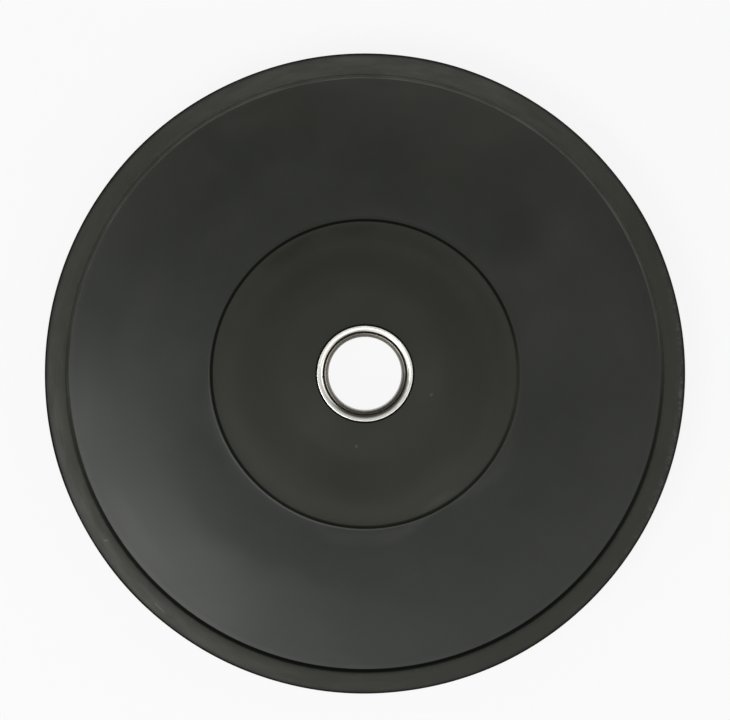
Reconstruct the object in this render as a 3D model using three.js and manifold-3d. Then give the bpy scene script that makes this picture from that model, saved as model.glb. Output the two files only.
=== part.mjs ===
// A rubber bumper plate for an Olympic barbell, lying on its back.
//
// Lengths are millimetres and +Z is up, along the bore. The origin is on the bore's axis, in the
// plane of the back faces of hub and rim, on which the plate lies. Front and back are alike, so
// every piece is drawn about the plate's middle plane and the whole stack is lifted by half its
// thickness.

import * as THREE from "three";
import { mergeVertices } from "three/addons/utils/BufferGeometryUtils.js";
import Module from "manifold-3d";

// Driving dimensions of the plate
const plateDiameter = 450;
const plateThickness = 46;
const boreDiameter = 52;

// Moulded rubber: hub, web, rim and tread
const hubDiameter = 213.4;
const hubGrooveWidth = 2.4;
const hubGrooveDepth = 2.2;
const hubBevelWidth = 1.2;
const webDepthAtHub = 0.8;
const webDepthAtRim = 4.2;
const rimWidth = 16.9;
const rimWallWidth = 2.1;
const rimLipRadius = 1.4;
const shoulderRadius = 3;
const rubberLipWidth = 0.6;
const rubberLipDepth = 0.5;

// Steel insert: the sleeve that lines the bore, the collars on its ends and the anchor disc
const sleeveWall = 2.4;
const sleeveSetback = 1;
const sleeveEndRadius = 6;
const collarWidth = 5.1;
const collarSetback = 0.3;
const collarEdgeChamfer = 0.5;
const collarMouthRounding = 3.6;
const anchorReach = 51;
const anchorThickness = 4;
const anchorHoleDiameter = 16;
const anchorHoleCount = 8;

// Clearances
const fitGap = 0.3;
const rubberGap = 0.5;
const overrun = 2;

// Facets
const bodySegments = 96;
const insertSegments = 64;
const holeSegments = 24;
const arcSteps = 3;
const webSteps = 4;
const quarterTurn = Math.PI / 2;

// Sizes that follow from those above
const plateRadius = plateDiameter / 2;
const halfThickness = plateThickness / 2;
const boreRadius = boreDiameter / 2;
const hubRadius = hubDiameter / 2;
const sleeveRadius = boreRadius + sleeveWall;
const sleeveReach = halfThickness - sleeveSetback;
const seatRadius = sleeveRadius + fitGap;
const collarRadius = seatRadius + collarWidth;
const collarFace = halfThickness - collarSetback;
const anchorRadius = collarRadius + anchorReach;
const anchorHoleCircle = collarRadius + anchorReach / 2;
const anchorHalf = anchorThickness / 2;
const rubberBoreRadius = collarRadius + rubberGap;
const pocketRadius = anchorRadius + fitGap;
const pocketHalf = anchorHalf + fitGap;

const rubber = new THREE.MeshStandardMaterial({ color: 0x3c3c38, roughness: 0.62, metalness: 0 });
const brightSteel = new THREE.MeshStandardMaterial({ color: 0xd2d3d2, roughness: 0.22, metalness: 1 });
const plainSteel = new THREE.MeshStandardMaterial({ color: 0x9a9a98, roughness: 0.4, metalness: 1 });
const rawSteel = new THREE.MeshStandardMaterial({ color: 0x55524e, roughness: 0.6, metalness: 1 });

const wasm = await Module();
wasm.setup();

// Points of an arc about (r, z), from one angle to another, both ends included.
function arc(r, z, radius, from, to) {
  const points = [];
  for (let i = 0; i <= arcSteps; i += 1) {
    const angle = from + ((to - from) * i) / arcSteps;
    points.push([r + radius * Math.cos(angle), z + radius * Math.sin(angle)]);
  }
  return points;
}

// The corner of an outline as an arc that touches both of its sides. Its ends lie radius over the
// tangent of half the corner's angle from the corner.
function rounded(before, corner, after, radius) {
  const [first, last] = [before, after].map(([r, z]) => {
    const side = new THREE.Vector2(r - corner[0], z - corner[1]);
    return side.normalize();
  });
  const half = Math.acos(first.dot(last)) / 2;
  const middle = first.clone().add(last).setLength(radius / Math.sin(half));
  const from = first.multiplyScalar(radius / Math.tan(half)).sub(middle).angle();
  const to = last.multiplyScalar(radius / Math.tan(half)).sub(middle).angle();
  const turn = Math.atan2(Math.sin(to - from), Math.cos(to - from));
  return arc(corner[0] + middle.x, corner[1] + middle.y, radius, from, from + turn);
}

// A ring about the bore's axis from its section, a list of [radius, height] in turn from the foot
// of its outer wall up, inwards and down its bore.
function ring(section, segments) {
  const closed = [...section, section[0]].map(([r, z]) => new THREE.Vector2(r, z));
  const geometry = new THREE.LatheGeometry(closed, segments);
  geometry.rotateX(quarterTurn);
  return geometry;
}

function toSolid(geometry) {
  const bare = geometry.clone();
  bare.deleteAttribute("normal");
  bare.deleteAttribute("uv");
  const merged = mergeVertices(bare);
  const mesh = new wasm.Mesh({
    numProp: 3,
    vertProperties: merged.attributes.position.array,
    triVerts: Uint32Array.from(merged.index.array),
  });
  return new wasm.Manifold(mesh);
}

function toGeometry(solid) {
  const mesh = solid.getMesh();
  const geometry = new THREE.BufferGeometry();
  geometry.setAttribute("position", new THREE.BufferAttribute(mesh.vertProperties, 3));
  geometry.setIndex(new THREE.BufferAttribute(mesh.triVerts, 1));
  geometry.computeVertexNormals();
  return geometry;
}

function named(name, geometry, material) {
  const mesh = new THREE.Mesh(geometry, material);
  mesh.name = name;
  return mesh;
}

// The web from the foot of the rim's wall in to the hub's bevel. It leaves the hub level and falls
// away towards the rim with the square of the distance.
function webOutline(inner, outer) {
  const points = [];
  for (let i = webSteps; i >= 0; i -= 1) {
    const share = i / webSteps;
    const depth = webDepthAtHub + (webDepthAtRim - webDepthAtHub) * share * share;
    points.push([inner + (outer - inner) * share, halfThickness - depth]);
  }
  return points;
}

// One face of the rubber, from the shoulder of the tread in to the mouth of its bore: the rim's
// shoulder and flat, its inner lip and leaning wall, the web, the hub's bevel and groove, the
// hub's flat and the small lip round the steel.
function faceOutline() {
  const rimFoot = plateRadius - rimWidth;
  const grooveOuter = hubRadius + hubGrooveWidth;
  const grooveMiddle = hubRadius + hubGrooveWidth / 2;
  const shoulderCentre = plateRadius - shoulderRadius;
  const web = webOutline(grooveOuter + hubBevelWidth, rimFoot);
  const rimFlat = [shoulderCentre, halfThickness];
  const rimLip = [rimFoot + rimWallWidth, halfThickness];
  return [
    ...arc(shoulderCentre, halfThickness - shoulderRadius, shoulderRadius, 0, quarterTurn),
    ...rounded(rimFlat, rimLip, web[0], rimLipRadius),
    ...web,
    [grooveOuter, halfThickness],
    [grooveMiddle, halfThickness - hubGrooveDepth],
    [hubRadius, halfThickness],
    [rubberBoreRadius + rubberLipWidth, halfThickness],
    [rubberBoreRadius, halfThickness - rubberLipDepth],
  ];
}

// The one moulding that makes tread, rims, webs and hubs, with the pocket that the anchor disc
// fills and the plugs of rubber that run through the disc's holes.
function rubberBody() {
  const front = faceOutline();
  const back = front.map(([r, z]) => [r, -z]).reverse();
  const pocket = [
    [rubberBoreRadius, pocketHalf],
    [pocketRadius, pocketHalf],
    [pocketRadius, -pocketHalf],
    [rubberBoreRadius, -pocketHalf],
  ];
  let solid = toSolid(ring([...front, ...pocket, ...back], bodySegments));
  for (const plug of pillars(anchorHoleDiameter / 2 - fitGap, pocketHalf + overrun)) {
    solid = solid.add(plug);
  }
  return toGeometry(solid);
}

// Round pillars on the circle of the anchor disc's holes, as far below the middle plane as above.
function pillars(radius, reach) {
  const solids = [];
  for (let i = 0; i < anchorHoleCount; i += 1) {
    const angle = (2 * Math.PI * i) / anchorHoleCount;
    const pillar = new THREE.CylinderGeometry(radius, radius, 2 * reach, holeSegments);
    pillar.rotateX(quarterTurn);
    pillar.translate(anchorHoleCircle * Math.cos(angle), anchorHoleCircle * Math.sin(angle), 0);
    solids.push(toSolid(pillar));
  }
  return solids;
}

// The steel that shows in the hub: a collar on the end of the sleeve, down to the anchor disc.
function collar() {
  const foot = anchorHalf + fitGap;
  const mouthCentre = seatRadius + collarMouthRounding;
  return ring([
    [collarRadius, foot],
    [collarRadius, collarFace - collarEdgeChamfer],
    [collarRadius - collarEdgeChamfer, collarFace],
    ...arc(mouthCentre, collarFace - collarMouthRounding, collarMouthRounding, quarterTurn,
      2 * quarterTurn),
    [seatRadius, foot],
  ], insertSegments);
}

// The tube that lines the bore from face to face and carries the collars and the anchor disc. Its
// ends flare out to its outer wall like a trumpet's, so that a bar finds its way in.
function sleeve() {
  const centreRadius = boreRadius + sleeveEndRadius;
  const start = Math.acos((sleeveRadius - centreRadius) / sleeveEndRadius);
  const centreHeight = sleeveReach - sleeveEndRadius * Math.sin(start);
  const end = arc(centreRadius, centreHeight, sleeveEndRadius, start, 2 * quarterTurn);
  const otherEnd = end.map(([r, z]) => [r, -z]).reverse();
  return ring([...end, ...otherEnd], insertSegments);
}

// The pierced disc that keys the steel into the rubber.
function anchorDisc() {
  let solid = toSolid(ring([
    [anchorRadius, -anchorHalf],
    [anchorRadius, anchorHalf],
    [seatRadius, anchorHalf],
    [seatRadius, -anchorHalf],
  ], insertSegments));
  for (const hole of pillars(anchorHoleDiameter / 2, anchorHalf + overrun)) {
    solid = solid.subtract(hole);
  }
  return toGeometry(solid);
}

const stack = new THREE.Group();
stack.position.z = halfThickness;
stack.add(named("rubber_body", rubberBody(), rubber));
stack.add(named("bore_sleeve", sleeve(), plainSteel));
stack.add(named("anchor_disc", anchorDisc(), rawSteel));
stack.add(named("front_collar", collar(), brightSteel));
const rearCollar = named("rear_collar", collar(), brightSteel);
rearCollar.rotation.x = Math.PI;
stack.add(rearCollar);

const plate = new THREE.Group();
plate.add(stack);

export default plate;
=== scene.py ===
"""A rubber bumper plate with a steel-lined bore, dressed round its packed model.

Lengths are metres, in the frame of the packed model: +Z along the bore, the back faces of hub and
rim at height 0. Each piece is a surface of revolution, worked out with numpy from an outline of
(radius, height) points, with small uneven places laid on it by formulas. Heights in outlines are
counted from the plate's middle plane.
"""

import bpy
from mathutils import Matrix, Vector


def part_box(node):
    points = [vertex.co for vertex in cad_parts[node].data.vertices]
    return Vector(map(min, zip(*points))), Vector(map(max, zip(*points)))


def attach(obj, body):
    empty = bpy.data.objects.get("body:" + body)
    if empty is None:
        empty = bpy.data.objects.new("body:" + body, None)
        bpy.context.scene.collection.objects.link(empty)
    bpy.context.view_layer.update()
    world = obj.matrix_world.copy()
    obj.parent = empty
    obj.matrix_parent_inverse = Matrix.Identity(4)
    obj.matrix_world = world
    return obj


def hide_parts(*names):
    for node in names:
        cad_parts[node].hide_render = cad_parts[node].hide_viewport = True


bl_info = {
    "name": "Bumper Plate",
    "version": (1, 0, 0),
    "blender": (4, 5, 0),
    "location": "View3D > Sidebar > Bumper Plate",
    "description": "Makes a rubber bumper plate with its steel insert, and a studio to see it in",
    "category": "Add Mesh",
}

import math

import bpy
import numpy as np

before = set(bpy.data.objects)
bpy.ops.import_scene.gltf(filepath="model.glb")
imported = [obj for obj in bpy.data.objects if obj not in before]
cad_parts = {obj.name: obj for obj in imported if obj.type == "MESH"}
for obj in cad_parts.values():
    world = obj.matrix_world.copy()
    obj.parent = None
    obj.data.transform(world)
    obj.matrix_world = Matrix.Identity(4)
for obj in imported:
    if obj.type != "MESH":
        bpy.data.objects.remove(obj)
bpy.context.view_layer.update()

MM = 0.001
DEGREE = math.pi / 180
QUARTER = math.pi / 2
TURN = 2 * math.pi

# Sizes that the packed model gives
PLATE_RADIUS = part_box("rubber_body")[1].x
PLATE_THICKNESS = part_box("rubber_body")[1].z
MIDDLE = PLATE_THICKNESS / 2
COLLAR_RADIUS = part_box("front_collar")[1].x
COLLAR_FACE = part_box("front_collar")[1].z - MIDDLE
COLLAR_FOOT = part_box("front_collar")[0].z - MIDDLE
SLEEVE_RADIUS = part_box("bore_sleeve")[1].x
SLEEVE_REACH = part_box("bore_sleeve")[1].z - MIDDLE
ANCHOR_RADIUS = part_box("anchor_disc")[1].x
ANCHOR_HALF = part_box("anchor_disc")[1].z - MIDDLE

# The photograph, in its own pixels: its size, the silhouette's radius and the plate's middle
PHOTO_SIZE = (730, 720)
PHOTO_RADIUS = 320.15
PHOTO_CENTRE = (364.9, 373.6)
CAMERA_HEIGHT = 2.4
SENSOR = 36.0

# How finely the surfaces are divided
RUBBER_SEGMENTS = 384
STEEL_SEGMENTS = 384
PLUG_SEGMENTS = 40
SMOOTH_ANGLE = 40 * DEGREE


def length(default, name, description):
    """A length property, in metres."""
    return bpy.props.FloatProperty(
        name=name, description=description, default=default, min=0.0, unit="LENGTH", precision=5
    )


def share(default, name, description):
    """A property from 0 to 1."""
    return bpy.props.FloatProperty(
        name=name, description=description, default=default, min=0.0, max=1.0, subtype="FACTOR"
    )


def colour(default, name, description):
    """A colour property, linear red, green and blue."""
    return bpy.props.FloatVectorProperty(
        name=name, description=description, default=default, size=3, min=0.0, max=1.0,
        subtype="COLOR",
    )


def power(default, name, description):
    """A lamp's power, in watts."""
    return bpy.props.FloatProperty(
        name=name, description=description, default=default, min=0.0, unit="POWER"
    )


class RubberShape(bpy.types.PropertyGroup):
    """Sizes of the moulding"""

    hub_radius: length(106.7 * MM, "Hub radius", "Radius of the flat hub, to the groove")
    groove_width: length(2.4 * MM, "Groove width", "Width of the groove round the hub")
    groove_depth: length(2.2 * MM, "Groove depth", "Depth of the groove round the hub")
    bevel_width: length(1.2 * MM, "Bevel width", "Width of the slope outside the groove")
    hub_crown: length(0.62 * MM, "Hub crown", "How far the hub's face falls towards its edge")
    web_depth_at_hub: length(0.8 * MM, "Web depth at hub", "Depth of the web beside the hub")
    web_depth_at_rim: length(4.2 * MM, "Web depth at rim", "Depth of the web beside the rim")
    rim_width: length(16.9 * MM, "Rim width", "From the tread in to the foot of the rim's wall")
    rim_wall: length(2.1 * MM, "Rim wall", "How far the rim's wall leans back over its height")
    rim_lip: length(1.4 * MM, "Rim lip", "Radius of the rim's inner lip")
    shoulder: length(3.0 * MM, "Shoulder", "Radius between the rim's face and the tread")
    uneven: length(0.20 * MM, "Unevenness", "Height of the slow waves left by moulding")
    parting_line: length(0.25 * MM, "Parting line", "Height of the seam round the tread")
    fit: length(0.3 * MM, "Fit", "Room that the moulding leaves round the anchor disc")
    insert_fit: length(0.5 * MM, "Insert fit", "Room between the rubber and the steel collars")


class InsertShape(bpy.types.PropertyGroup):
    """Sizes of the steel insert that the packed model's boxes don't give"""

    bore_radius: length(26.0 * MM, "Bore radius", "Radius of the hole for the bar's sleeve")
    end_radius: length(6.0 * MM, "End radius", "Radius of the tube's flared ends")
    fit: length(0.3 * MM, "Fit", "Room between the tube and the collars on it")
    mouth_rounding: length(3.6 * MM, "Mouth rounding", "Radius inside the collar's face")
    face_dish: length(0.16 * MM, "Face dish", "How far the collar's face falls inwards")
    edge: length(0.5 * MM, "Edge", "Radius round the collar's face")
    hole_radius: length(8.0 * MM, "Hole radius", "Radius of the holes in the anchor disc")
    holes: bpy.props.IntProperty(
        name="Holes", description="Number of holes in the anchor disc", default=8, min=0
    )
    nick: length(0.45 * MM, "Nick", "Depth of the dent in the front collar's mouth")


class RubberFinish(bpy.types.PropertyGroup):
    """Colours and gloss of the rubber"""

    tone: colour((0.0172, 0.0180, 0.0120), "Rubber", "Colour of hub, rim and tread where clean")
    web_tone: colour((0.0165, 0.0175, 0.0133), "Web rubber", "Colour of the smooth webs")
    # The pale tone of dust, rubbing and grit, which the painted sheen and highlights also use
    bloom_and_sheen: colour((0.098, 0.099, 0.089), "Bloom", "Colour where the rubber is dusty or rubbed")
    web_roughness: share(0.30, "Web roughness", "Roughness of the smooth webs")
    face_roughness: share(0.55, "Face roughness", "Roughness of hub, rim and tread")
    # Scales the rubbed edges and the painted highlight on the shoulder's lit side
    wear_and_highlight: share(0.20, "Wear", "How much the edges are rubbed pale")
    # Scales dust and haze together with the painted sheen and light laid on with them
    dust: share(0.85, "Dust", "How much dust lies on rim, web and hub")


class SteelFinish(bpy.types.PropertyGroup):
    """Colours and gloss of the steel"""

    bright: colour((0.65, 0.645, 0.60), "Bright steel", "Colour of the turned collars")
    drawn: colour((0.42, 0.395, 0.345), "Drawn steel", "Colour of the sleeve in the bore")
    rolled: colour((0.12, 0.11, 0.10), "Rolled steel", "Colour of the buried anchor disc")
    # Tone of grit, and of the painted shade at the steel's edges and in its hollows
    dirt_and_shade: colour((0.10, 0.09, 0.075), "Dirt", "Colour of what gathers beside the rubber")
    bright_roughness: share(0.19, "Bright roughness", "Roughness of the turned collars")
    drawn_roughness: share(0.34, "Drawn roughness", "Roughness of the sleeve")


class Studio(bpy.types.PropertyGroup):
    """Strength of the lamps and of the pale surroundings"""

    background: share(0.937, "Background", "Brightness of the floor and of what lies behind it")
    walls: share(0.10, "Walls", "Brightness that the gloss shows away from the ceiling")
    fill: share(0.42, "Fill", "Light from all round")
    shadow: share(0.07, "Shadow", "How much of the floor's brightness the shadow takes away")
    key_power: power(35.0, "Key lamp", "Power of the softbox at the lower left")
    front_power: power(15.0, "Front lamp", "Power of the softbox at the lower right")
    side_power: power(5.3, "Side lamp", "Power of the low softbox at the right")
    low_power: power(4.0, "Low lamp", "Power of the low softbox at the lower left")


# Rounding of the small corners, and where on the hub its face begins and ends to fall
FOOT_RADIUS = 0.5 * MM
BEVEL_FOOT_RADIUS = 2.0 * MM
GROOVE_LIP_RADIUS = 0.25 * MM
GROOVE_FLOOR_RADIUS = 0.25 * MM
BORE_LIP_RADIUS = 0.6 * MM
SLEEVE_EDGE = 0.12 * MM
HUB_EDGE_WIDTH = 1.0 * MM
CROWN_START_SHARE = 0.86
CROWN_END_SHARE = 0.972

# Section of the tread's seam, in shares of its height: how far above the middle plane each point
# lies, and how far out from the tread
SEAM_SHARES = ((-3, 0), (-2, 0.2), (-0.5, 1), (0.5, 1), (2, 0.2), (3, 0))

# Into how many steps each corner and each face of an outline is divided
SHOULDER_STEPS = 10
RIM_LIP_STEPS = 8
FOOT_STEPS = 4
BEVEL_FOOT_STEPS = 5
GROOVE_LIP_STEPS = 4
GROOVE_FLOOR_STEPS = 3
BORE_LIP_STEPS = 4
RIM_RINGS = 4
WEB_RINGS = 24
CROWN_RINGS = 10
HUB_RINGS = 10
TREAD_RINGS = 6
COLLAR_EDGE_STEPS = 6
COLLAR_MOUTH_STEPS = 14
FLARE_STEPS = 18
SLEEVE_EDGE_STEPS = 3
BORE_RINGS = 6

# Points that keep the smooth shading of a corner on the corner: how far from its ends they lie,
# which sides are long enough for them, and from which bend on a corner has them
RUBBER_SUPPORT = 0.2 * MM
STEEL_SUPPORT = 0.1 * MM
LONG_SIDE_SUPPORTS = 5
LEAST_BEND = 1.5 * DEGREE


def arc(radius, height, size, start, end, steps):
    """Points of a circle's arc about (radius, height), at equal angles from start to end."""
    angle = np.linspace(start, end, steps + 1)
    return np.stack([radius + size * np.cos(angle), height + size * np.sin(angle)], axis=1)


def turned_from(around, side):
    """Angles from one direction to others, from minus half a turn to half a turn."""
    return np.remainder(around - side + TURN / 2, TURN) - TURN / 2


def line(start, end, steps):
    """Points that divide a straight line into equal steps, without its two ends."""
    along = np.linspace(0, 1, steps + 1)[1:-1, None]
    return np.asarray(start) * (1 - along) + np.asarray(end) * along


def rounded(before, corner, after, size, steps):
    """The corner of an outline as an arc that touches both of its sides.

    The arc's ends lie size / tan(half the corner's angle) from the corner, and its centre on the
    bisector, size / sin(half the angle) away.
    """
    before, corner, after = (np.asarray(p, float) for p in (before, corner, after))
    u = (before - corner) / np.linalg.norm(before - corner)
    v = (after - corner) / np.linalg.norm(after - corner)
    half = math.acos(np.clip(u @ v, -1, 1)) / 2
    centre = corner + (u + v) / np.linalg.norm(u + v) * size / math.sin(half)
    first = corner + u * size / math.tan(half) - centre
    last = corner + v * size / math.tan(half) - centre
    start = math.atan2(first[1], first[0])
    turn = math.remainder(math.atan2(last[1], last[0]) - start, TURN)
    return arc(centre[0], centre[1], size, start, start + turn, steps)


def mirrored(outline):
    """The same outline below the middle plane, in the order that keeps its inside inside."""
    return outline[::-1] * (1, -1)


def supported(outline, reach):
    """A closed outline with a point on each long side near every end at which the outline bends.

    The added points lie a fixed reach from those ends. The bend at a point is the angle between
    its two sides.
    """
    following = np.roll(outline, -1, axis=0)
    side = following - outline
    size = np.linalg.norm(side, axis=1)
    heading = np.arctan2(side[:, 1], side[:, 0])
    bent = np.abs(turned_from(heading, np.roll(heading, 1))) > LEAST_BEND
    large = size > LONG_SIDE_SUPPORTS * reach
    step = side * (reach / size)[:, None]
    three = np.stack([outline, outline + step, following - step], axis=1)
    keep = [np.ones_like(bent), large & bent, large & np.roll(bent, -1)]
    return three[np.stack(keep, axis=1)]


def revolve(outline, segments):
    """The ring that a closed outline sweeps about the bore's axis.

    A grid of points: the first index turns about the axis and the second follows the outline, and
    point (i, j) is (r_j cos a_i, r_j sin a_i, middle + z_j).
    """
    angle = np.arange(segments) * (TURN / segments)
    grid = np.empty((segments, len(outline), 3))
    grid[:, :, 0] = np.cos(angle)[:, None] * outline[:, 0]
    grid[:, :, 1] = np.sin(angle)[:, None] * outline[:, 0]
    grid[:, :, 2] = MIDDLE + outline[:, 1]
    return grid


def closed_grid_faces(rows, columns):
    """Four-sided faces of a grid whose rows and columns both close on themselves."""
    here = np.arange(rows * columns).reshape(rows, columns)
    down = np.roll(here, -1, axis=0)
    return np.stack(
        [here, down, np.roll(down, -1, axis=1), np.roll(here, -1, axis=1)], axis=-1
    ).reshape(-1, 4)


def fill_mesh(mesh, points, faces):
    """Puts points and four-sided faces into a mesh, smooth."""
    mesh.vertices.add(len(points))
    mesh.vertices.foreach_set("co", points.ravel())
    mesh.loops.add(faces.size)
    mesh.loops.foreach_set("vertex_index", faces.ravel())
    mesh.polygons.add(len(faces))
    mesh.polygons.foreach_set("loop_start", np.arange(0, faces.size, 4))
    mesh.polygons.foreach_set("use_smooth", np.ones(len(faces), bool))
    mesh.update(calc_edges=True)
    if mesh.validate():
        raise RuntimeError(f"the mesh of {mesh.name} had faults")


def ring_object(name, grid):
    """A smooth closed ring from a grid that revolve made."""
    mesh = bpy.data.meshes.new(name)
    fill_mesh(mesh, grid.reshape(-1, 3), closed_grid_faces(*grid.shape[:2]))
    mesh.set_sharp_from_angle(angle=SMOOTH_ANGLE)
    ring = bpy.data.objects.new(name, mesh)
    bpy.context.scene.collection.objects.link(ring)
    return ring


def mark(piece, name, values):
    """Keeps one value for each point of a piece, for its material to read."""
    attribute = piece.data.attributes.new(name, "FLOAT", "POINT")
    attribute.data.foreach_set("value", values.astype(np.float32).ravel())


def places(piece):
    """Radius, height from the middle plane and the two sides' coordinates of each point."""
    points = np.empty(len(piece.data.vertices) * 3)
    piece.data.vertices.foreach_get("co", points)
    x, y, z = points.reshape(-1, 3).T
    return np.hypot(x, y), z - MIDDLE, x, y


def settle(piece, node, material):
    """Hands a piece over: its material, its place under the root body, and the hidden solid it
    stands for.
    """
    piece.data.materials.clear()
    piece.data.materials.append(material)
    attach(piece, "root")
    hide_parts(node)


def waves(x, y, seed, count, shortest, longest):
    """A slow uneven field with heights of about -1 to 1: sine waves across the plane, each with
    its own direction, length and phase, added up and divided by the square root of their number.
    """
    random = np.random.default_rng(seed)
    field = np.zeros_like(x)
    for _ in range(count):
        direction, phase = random.uniform(0, TURN, 2)
        number = TURN / random.uniform(shortest, longest)
        field += np.sin(number * (x * math.cos(direction) + y * math.sin(direction)) + phase)
    return field / math.sqrt(count)


def smooth_step(value, low, high):
    """0 below low, 1 above high, and an even S-shaped rise between them."""
    t = np.clip((value - low) / (high - low), 0, 1)
    return t * t * (3 - 2 * t)


def band(value, low, high, soft):
    """1 between low and high, falling to 0 over the soft width outside them."""
    return smooth_step(value, low - soft, low) * (1 - smooth_step(value, high, high + soft))


def at_least(least, value):
    """A value from 0 to 1, taken evenly to the range from the least share to 1."""
    return least + (1 - least) * value


def web_outline(inner, outer, shape):
    """The web from the rim's foot in to the hub: it leaves the hub level and falls away towards
    the rim with the square of the distance."""
    along = np.linspace(1, 0, WEB_RINGS + 1)
    depth = shape.web_depth_at_hub
    depth = depth + (shape.web_depth_at_rim - depth) * along**2
    return np.stack([inner + (outer - inner) * along, MIDDLE - depth], axis=1)


def hub_outline(edge, inner, shape):
    """The hub's face from its edge inwards, lower at its edge than in its middle by the crown,
    with an S-shaped fall between them."""
    start, end = CROWN_START_SHARE * shape.hub_radius, CROWN_END_SHARE * shape.hub_radius
    radius = np.concatenate([
        [edge - HUB_EDGE_WIDTH],
        np.linspace(end, start, CROWN_RINGS + 1),
        np.linspace(start, inner, HUB_RINGS + 1)[1:],
    ])
    return np.stack([radius, MIDDLE - shape.hub_crown * smooth_step(radius, start, end)], axis=1)


def rubber_face(shape):
    """One face of the rubber from the tread's shoulder in to the lip round the steel."""
    top = MIDDLE
    rim_foot = PLATE_RADIUS - shape.rim_width
    groove_outer = shape.hub_radius + shape.groove_width
    rim_flat = (PLATE_RADIUS - shape.shoulder, top)
    rim_lip = (rim_foot + shape.rim_wall, top)
    bore = COLLAR_RADIUS + shape.insert_fit
    flat_inner = bore + BORE_LIP_RADIUS
    web = web_outline(groove_outer + shape.bevel_width, rim_foot, shape)
    bevel_top = (groove_outer, top - shape.hub_crown)
    groove_floor = (shape.hub_radius + shape.groove_width / 2, top - shape.groove_depth)
    hub_edge = (shape.hub_radius, top - shape.hub_crown)
    hub = hub_outline(shape.hub_radius, flat_inner, shape)
    return np.concatenate([
        arc(rim_flat[0], top - shape.shoulder, shape.shoulder, 0, QUARTER, SHOULDER_STEPS),
        line(rim_flat, rim_lip, RIM_RINGS),
        rounded(rim_flat, rim_lip, web[0], shape.rim_lip, RIM_LIP_STEPS),
        rounded(rim_lip, web[0], web[1], FOOT_RADIUS, FOOT_STEPS),
        web[1:-1],
        rounded(web[-2], web[-1], bevel_top, BEVEL_FOOT_RADIUS, BEVEL_FOOT_STEPS),
        rounded(web[-1], bevel_top, groove_floor, GROOVE_LIP_RADIUS, GROOVE_LIP_STEPS),
        rounded(bevel_top, groove_floor, hub_edge, GROOVE_FLOOR_RADIUS, GROOVE_FLOOR_STEPS),
        rounded(groove_floor, hub_edge, hub[0], GROOVE_LIP_RADIUS, GROOVE_LIP_STEPS),
        hub[:-1],
        arc(
            flat_inner, top - BORE_LIP_RADIUS, BORE_LIP_RADIUS, QUARTER, 2 * QUARTER,
            BORE_LIP_STEPS,
        ),
    ])


def rubber_outline(shape):
    """The whole section of the moulding: tread with its seam, front, bore, pocket and back."""
    front = rubber_face(shape)
    bore = COLLAR_RADIUS + shape.insert_fit
    pocket_radius = ANCHOR_RADIUS + shape.fit
    pocket_half = ANCHOR_HALF + shape.fit
    pocket = [
        (bore, pocket_half),
        (pocket_radius, pocket_half),
        (pocket_radius, -pocket_half),
        (bore, -pocket_half),
    ]
    tread_top = MIDDLE - shape.shoulder
    seam = [
        (PLATE_RADIUS + out * shape.parting_line, up * shape.parting_line)
        for up, out in SEAM_SHARES
    ]
    tread = np.concatenate([
        line((PLATE_RADIUS, -tread_top), seam[0], TREAD_RINGS),
        seam,
        line(seam[-1], (PLATE_RADIUS, tread_top), TREAD_RINGS),
    ])
    return supported(np.concatenate([tread, front, pocket, mirrored(front)]), RUBBER_SUPPORT)


# Slow waves of the moulding, each with a seed, how many sines it adds up, the shortest and the
# longest of them, then how high those of the tread are, and the share of the webs' height that
# those of hub and rims have
FRONT_WAVES = (11, 9, 90 * MM, 260 * MM)
BACK_WAVES = (12, 9, 90 * MM, 260 * MM)
TREAD_WAVES = (13, 7, 70 * MM, 220 * MM)
TREAD_UNEVEN = 0.12 * MM
LEVEL_SHARE = 0.35

# Where those waves begin: inside the edges of a web, below a face, and outside the collars
WEB_MARGINS = (8 * MM, 6 * MM, 6 * MM)
FACE_DEPTHS = (7 * MM, 8 * MM)
COLLAR_MARGINS = (8 * MM, 20 * MM)

# Waves of the seam's height round the tread, each as how many go round and where the first starts,
# the largest share of its height that the seam loses, and between which shares of its height a
# point begins to sink with it
SEAM_WAVES = ((7, 1.1), (23, 0.4))
SEAM_LOSS_SHARE = 0.8
SEAM_SINKING = (0.1, 0.6)


def uneven_faces(grid, shape):
    """Lays the moulding's slow waves on the faces of a grid: up and down on the webs, and less on
    hub and rims."""
    height = grid[:, :, 2] - MIDDLE
    radius = np.hypot(grid[:, :, 0], grid[:, :, 1])
    past_hub, past_rim, soft = WEB_MARGINS
    rim_foot = PLATE_RADIUS - shape.rim_width
    web = band(radius, shape.hub_radius + past_hub, rim_foot - past_rim, soft)
    face = 1 - smooth_step(MIDDLE - np.abs(height), *FACE_DEPTHS)
    inside = smooth_step(radius - COLLAR_RADIUS, *COLLAR_MARGINS)
    front, back = (
        waves(grid[:, :, 0], grid[:, :, 1], *field) for field in (FRONT_WAVES, BACK_WAVES)
    )
    share_of_height = at_least(LEVEL_SHARE, web)
    field = np.where(height > 0, front, back) * face * inside * share_of_height
    grid[:, :, 2] += shape.uneven * field * np.sign(height)


def uneven_tread(grid, shape):
    """Lays the moulding's slow waves on the tread of a grid, in and out, and lowers its seam: the
    seam's height comes and goes along the tread in whole waves, so that it closes."""
    x, y = grid[:, :, 0], grid[:, :, 1]
    radius, around = np.hypot(x, y), np.arctan2(y, x)
    tread = smooth_step(radius, PLATE_RADIUS - shape.shoulder, PLATE_RADIUS)
    seam = smooth_step((radius - PLATE_RADIUS) / shape.parting_line, *SEAM_SINKING)
    rise = 0.5 + 0.25 * sum(np.sin(count * around + start) for count, start in SEAM_WAVES)
    out = TREAD_UNEVEN * waves(x, y, *TREAD_WAVES) * tread
    out -= seam * (1 - rise) * SEAM_LOSS_SHARE * shape.parting_line
    grid[:, :, 0] += np.cos(around) * out
    grid[:, :, 1] += np.sin(around) * out


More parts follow.
